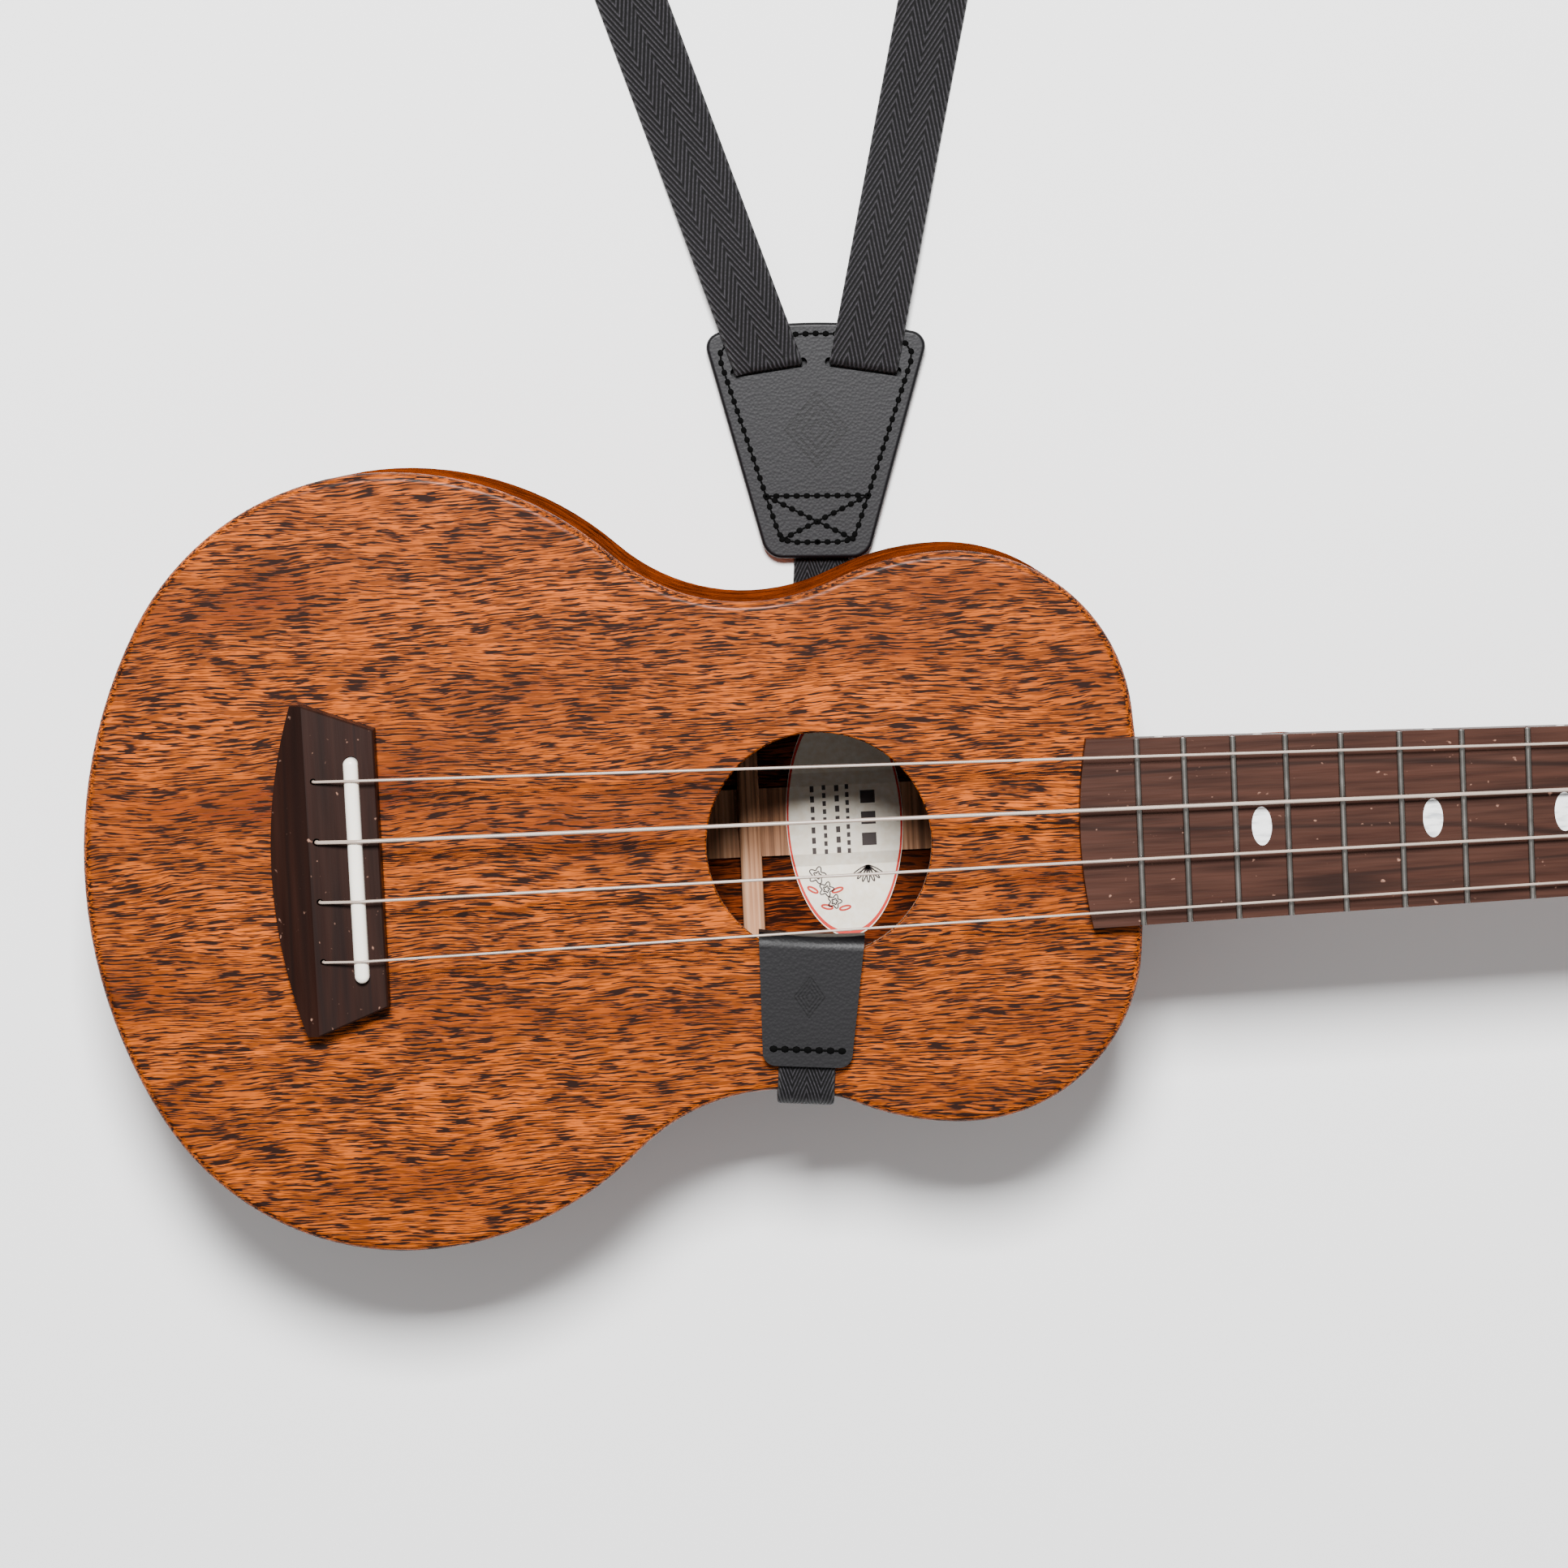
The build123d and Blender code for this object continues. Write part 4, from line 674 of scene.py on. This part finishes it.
class UKULELE_OT_wrap_webbing(bpy.types.Operator):
    """Make the narrow webbing that passes under the body and up to the hook"""

    bl_idname = "ukulele.wrap_webbing"
    bl_label = "Wrap Webbing"

    def execute(self, context):
        low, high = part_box("wrap_webbing")
        rise_s = low[1] / math.cos(STRAP_ANGLE) + WEBBING / 2 + WRAP_WIDTH / 2 * math.tan(STRAP_ANGLE)
        top = high[2] - WEBBING / 2
        start_s = high[1] / math.cos(STRAP_ANGLE) - WRAP_WIDTH / 2 * math.tan(STRAP_ANGLE)
        radius = WRAP_CORNER
        base = WEBBING / 2
        quarter = np.linspace(0, np.pi / 2, 9)[1:-1]
        under = np.stack([np.linspace(start_s, rise_s + radius, 60), np.full(60, base)], axis=1)
        lower = np.stack([rise_s + radius - radius * np.sin(quarter),
                          base + radius - radius * np.cos(quarter)], axis=1)
        wall = np.stack([np.full(40, rise_s), np.linspace(base + radius, top - radius, 40)], axis=1)
        upper = np.stack([rise_s + radius - radius * np.cos(quarter),
                          top - radius + radius * np.sin(quarter)], axis=1)
        board = np.stack([np.linspace(rise_s + radius, WRAP_END_S, 14), np.full(14, top)], axis=1)
        line = np.concatenate([under, lower, wall, upper, board])
        centres = strap_point(line[:, 0], np.zeros(len(line)), line[:, 1])
        way = np.array([math.cos(STRAP_ANGLE), -math.sin(STRAP_ANGLE), 0.0])
        piece, length = make_band("wrap_webbing_cloth", centres, np.tile(way, (len(line), 1)),
                                  WRAP_WIDTH, "narrow_webbing", "wrap_webbing")
        return {"FINISHED"}


def stitch_line(corners, pitch):
    """Evenly spaced places along straight runs through the corners."""
    distance = along_path(corners)
    count = max(2, int(round(distance[-1] / pitch)) + 1)
    wanted = np.linspace(0, distance[-1], count)
    return np.stack([np.interp(wanted, distance, corners[:, axis]) for axis in range(3)], axis=1)


def seam_mesh(lines, thread, pitch):
    """Stitches and their holes as small flattened balls: point = place + d * long * cos(u) cos(v)
    + side * wide * sin(u) cos(v) + up * high * sin(v). Stitches lie between the holes."""
    around, height = np.meshgrid(np.linspace(0, 2 * np.pi, 9)[:-1], np.linspace(-1.2, 1.2, 5))
    ball = np.stack([np.cos(around) * np.cos(height), np.sin(around) * np.cos(height),
                     np.sin(height)], axis=-1).reshape(-1, 3)
    index = np.arange(40).reshape(5, 8)
    beside = np.roll(index, -1, axis=1)
    skin = np.stack([index[:-1], beside[:-1], beside[1:], index[1:]], axis=-1).reshape(-1, 4)
    ball_faces = skin.tolist() + [index[0][::-1].tolist(), index[-1].tolist()]
    vertices, faces = [], []
    up = np.array([0.0, 0.0, 1.0])
    for corners in lines:
        holes = stitch_line(corners, pitch)
        middles = (holes[1:] + holes[:-1]) / 2
        ways = unit(np.diff(holes, axis=0))
        hole_ways = np.concatenate([ways, ways[-1:]])
        for places, dirs, size in (
                (holes, hole_ways, (1.5 * thread, 1.25 * thread, 0.4 * thread)),
                (middles, ways, (0.42 * pitch, 0.42 * thread, 0.34 * thread))):
            sides = np.cross(up, dirs)
            for place, way, side in zip(places, dirs, sides):
                base = sum(len(block) for block in vertices)
                vertices.append(place + ball[:, :1] * way * size[0] + ball[:, 1:2] * side * size[1]
                                + ball[:, 2:] * up * size[2])
                faces.extend([[corner + base for corner in face] for face in ball_faces])
    return np.concatenate(vertices), faces


class UKULELE_OT_stitching(bpy.types.Operator):
    """Sew the yoke's rim, its crossed box and the end of the hook"""

    bl_idname = "ukulele.stitching"
    bl_label = "Stitching"

    def execute(self, context):
        settings = context.scene.ukulele_stitching
        level = YOKE_TOP_Z + 0.05 * MM
        half = np.array([[0, 3.8], [6.0, 3.8], [8.1, 4.5], [9.2, 6.3], [22.2, 46.0], [22.2, 48.0],
                         [21.0, 49.8], [18.6, 50.9], [9.5, 52.0], [0, 52.3]]) * MM
        rim = np.concatenate([half, half[-2::-1] * [-1, 1]])
        box_top, box_low = (11.9 * MM, 14.6 * MM), (8.2 * MM, 4.5 * MM)
        cross_lines = [
            np.array([[-box_top[0], box_top[1]], [box_top[0], box_top[1]]]),
            np.array([[-box_top[0], box_top[1]], [box_low[0], box_low[1]]]),
            np.array([[box_top[0], box_top[1]], [-box_low[0], box_low[1]]]),
        ]
        lines = [yoke_point(line[:, 0], line[:, 1], level) for line in [rim, *cross_lines]]
        vertices, faces = seam_mesh(lines, settings.thread, settings.stitch_pitch)
        make_object("yoke_stitches", vertices, faces, "thread")
        hook_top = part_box("strap_hook")[1][2] + 0.05 * MM
        across = np.array([-HOOK_STITCH_HALF, HOOK_STITCH_HALF])
        row = strap_point(np.full(2, HOOK_STITCH_S), across, hook_top)
        vertices, faces = seam_mesh([row], settings.thread * 1.15, settings.stitch_pitch)
        make_object("hook_stitches", vertices, faces, "thread")
        return {"FINISHED"}


def ribbon(points, width):
    """A closed flat line: the curve moved in and out along its own side by half the width."""
    ahead = np.roll(points, -1, axis=0) - np.roll(points, 1, axis=0)
    side = unit(np.stack([-ahead[:, 1], ahead[:, 0], np.zeros(len(points))], axis=1))
    count = len(points)
    inner, outer = points - side * width / 2, points + side * width / 2
    index = np.arange(count)
    beside = np.roll(index, -1)
    faces = np.stack([index, beside, beside + count, index + count], axis=1)
    return np.concatenate([inner, outer]), faces


def joined(blocks):
    """Several (vertices, faces) blocks as one."""
    vertices, faces, base = [], [], 0
    for points, skin in blocks:
        vertices.append(points)
        faces.extend([[corner + base for corner in face] for face in skin])
        base += len(points)
    return np.concatenate(vertices), faces


class UKULELE_OT_label_print(bpy.types.Operator):
    """Print flowers, a leaf fan and plain bars on the paper label"""

    bl_idname = "ukulele.label_print"
    bl_label = "Label Print"

    def execute(self, context):
        theta = np.linspace(0, 2 * np.pi, 61)[:-1]
        low = LABEL_Z - PAPER_STEP + INK_LIFT
        high = LABEL_Z + INK_LIFT
        dark, red = [], []
        for x, y, size in ((-7.0, -13.2, 2.1), (-5.0, -16.6, 1.8), (-3.2, -19.6, 1.7)):
            for share in (1.0, 0.45):
                reach = size * share * MM * (0.78 + 0.22 * np.cos(5 * theta))
                curve = np.stack([LABEL_X + x * MM + reach * np.cos(theta), y * MM + reach * np.sin(theta),
                                  np.full_like(theta, low)], axis=1)
                dark.append(ribbon(curve, INK_LINE))
        for x, y, turn in ((-8.2, -16.6, 2.6), (-2.4, -16.9, 0.3), (-0.8, -21.2, 0.2), (-5.0, -20.8, 2.9)):
            leaf = np.stack([1.3 * np.cos(theta), 0.45 * np.sin(theta)], axis=1) * MM
            spin = np.array([[math.cos(turn), -math.sin(turn)], [math.sin(turn), math.cos(turn)]])
            leaf = leaf @ spin.T
            curve = np.stack([LABEL_X + x * MM + leaf[:, 0], y * MM + leaf[:, 1],
                              np.full_like(theta, low)], axis=1)
            red.append(ribbon(curve, 0.45 * MM))
        for step in range(7):
            turn = math.radians(-150 + 20 * step)
            way = np.array([math.cos(turn), math.sin(turn)])
            side = np.array([-way[1], way[0]])
            place = np.array([LABEL_X + 5.0 * MM, -11.4 * MM])
            blade = (place + way * 2.0 * MM)[None, :] + np.outer(2.0 * MM * np.cos(theta), way) \
                + np.outer(0.33 * MM * np.sin(theta), side)
            dark.append(ribbon(np.concatenate([blade, np.full((60, 1), low)], axis=1), INK_LINE))
        for x, width, bars in ((5.6, 3.4, 3), (0.8, 0.8, 9), (-1.6, 1.0, 7), (-4.6, 0.8, 9), (-7.4, 0.9, 7)):
            spread = 15.0 if width > 2 else 17.0
            for number in range(bars):
                y = (number - (bars - 1) / 2) * spread / bars
                reach = 0.30 * spread / bars
                square = np.array([[-width / 2, -reach], [width / 2, -reach], [width / 2, reach],
                                   [-width / 2, reach]]) * MM
                corners = np.stack([LABEL_X + x * MM + square[:, 0], y * MM + square[:, 1],
                                    np.full(4, high)], axis=1)
                dark.append((corners, np.array([[0, 1, 2, 3]])))
        for name, blocks, ink in (("label_dark_print", dark, "ink_dark"),
                                  ("label_red_print", red, "ink_red")):
            vertices, faces = joined(blocks)
            make_object(name, vertices, faces, ink, smooth=False)
        return {"FINISHED"}


class UKULELE_OT_stage(bpy.types.Operator):
    """Set the floor, the lights and the camera"""

    bl_idname = "ukulele.stage"
    bl_label = "Stage"

    def execute(self, context):
        scene = context.scene
        half = 6.0
        mesh = bpy.data.meshes.new("floor")
        mesh.from_pydata([(-half, -half, 0), (half, -half, 0), (half, half, 0), (-half, half, 0)], [],
                         [(0, 1, 2, 3)])
        floor = bpy.data.objects.new("floor", mesh)
        material, _, _ = start_material("white_paper_floor", Roughness=0.9,
                                        **{"Base Color": linear("#fafafa"), "Specular IOR Level": 0.1})
        mesh.materials.append(material)
        scene.collection.objects.link(floor)
        floor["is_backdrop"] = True

        world = bpy.data.worlds.new("soft_room")
        world.use_nodes = True
        world.node_tree.nodes["Background"].inputs["Color"].default_value = (1, 1, 1, 1)
        world.node_tree.nodes["Background"].inputs["Strength"].default_value = 0.36
        scene.world = world
        target = Vector((-0.06, 0.0, 0.05))
        for name, place, size, power in (
                ("key_softbox", (-0.10, 0.58, 1.25), 0.30, 54.0),
                ("fill_softbox", (0.25, -0.9, 1.5), 1.2, 2.0)):
            light = bpy.data.lights.new(name, "AREA")
            light.size = size
            light.energy = power
            lamp = bpy.data.objects.new(name, light)
            lamp.location = place
            lamp.rotation_euler = (Vector(place) - target).to_track_quat("Z", "Y").to_euler()
            scene.collection.objects.link(lamp)

        tilt, roll = math.radians(5), 0.04810
        aim = Vector((-77.99, 13.95, 63.8)) * MM
        back = Vector((0, math.sin(tilt), math.cos(tilt)))
        upright = Vector((0, math.cos(tilt), -math.sin(tilt)))
        level = Vector((1, 0, 0))
        right = math.cos(roll) * level - math.sin(roll) * upright
        up = math.sin(roll) * level + math.cos(roll) * upright
        camera_data = bpy.data.cameras.new("camera")
        camera_data.lens = 103.6
        camera_data.sensor_width = 36
        camera = bpy.data.objects.new("camera", camera_data)
        turn = Matrix((right, up, back)).transposed().to_4x4()
        camera.matrix_world = Matrix.Translation(aim + back * 1.0) @ turn
        scene.collection.objects.link(camera)
        scene.camera = camera
        return {"FINISHED"}


class UKULELE_PT_workshop(bpy.types.Panel):
    """The sidebar panel that lists the making steps"""

    bl_idname = "UKULELE_PT_workshop"
    bl_label = "Ukulele Workshop"
    bl_space_type = "VIEW_3D"
    bl_region_type = "UI"
    bl_category = "Ukulele"

    def draw(self, context):
        finish = context.scene.ukulele_finish
        stitching = context.scene.ukulele_stitching
        for name in ("mahogany", "mahogany_pore", "rosewood", "leather", "webbing"):
            self.layout.prop(finish, name)
        for name in ("stitch_pitch", "thread"):
            self.layout.prop(stitching, name)
        for step in STEPS:
            self.layout.operator(step.bl_idname)


STEPS = (
    UKULELE_OT_finishes,
    UKULELE_OT_neck_webbing,
    UKULELE_OT_wrap_webbing,
    UKULELE_OT_stitching,
    UKULELE_OT_label_print,
    UKULELE_OT_stage,
)
CLASSES = (UkuleleFinish, UkuleleStitching, *STEPS, UKULELE_PT_workshop)


def register():
    for cls in CLASSES:
        bpy.utils.register_class(cls)
    bpy.types.Scene.ukulele_finish = bpy.props.PointerProperty(type=UkuleleFinish)
    bpy.types.Scene.ukulele_stitching = bpy.props.PointerProperty(type=UkuleleStitching)


def unregister():
    del bpy.types.Scene.ukulele_stitching
    del bpy.types.Scene.ukulele_finish
    for cls in reversed(CLASSES):
        bpy.utils.unregister_class(cls)


def main():
    """Makes every piece in order."""
    register()
    for step in STEPS:
        group, name = step.bl_idname.split(".")
        getattr(getattr(bpy.ops, group), name)()
    boxes = {"cad": CAD_BOX, "visual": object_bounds()}
    boxes = {key: [[float(value) for value in corner] for corner in box] for key, box in boxes.items()}


if __name__ == "__main__":
    main()
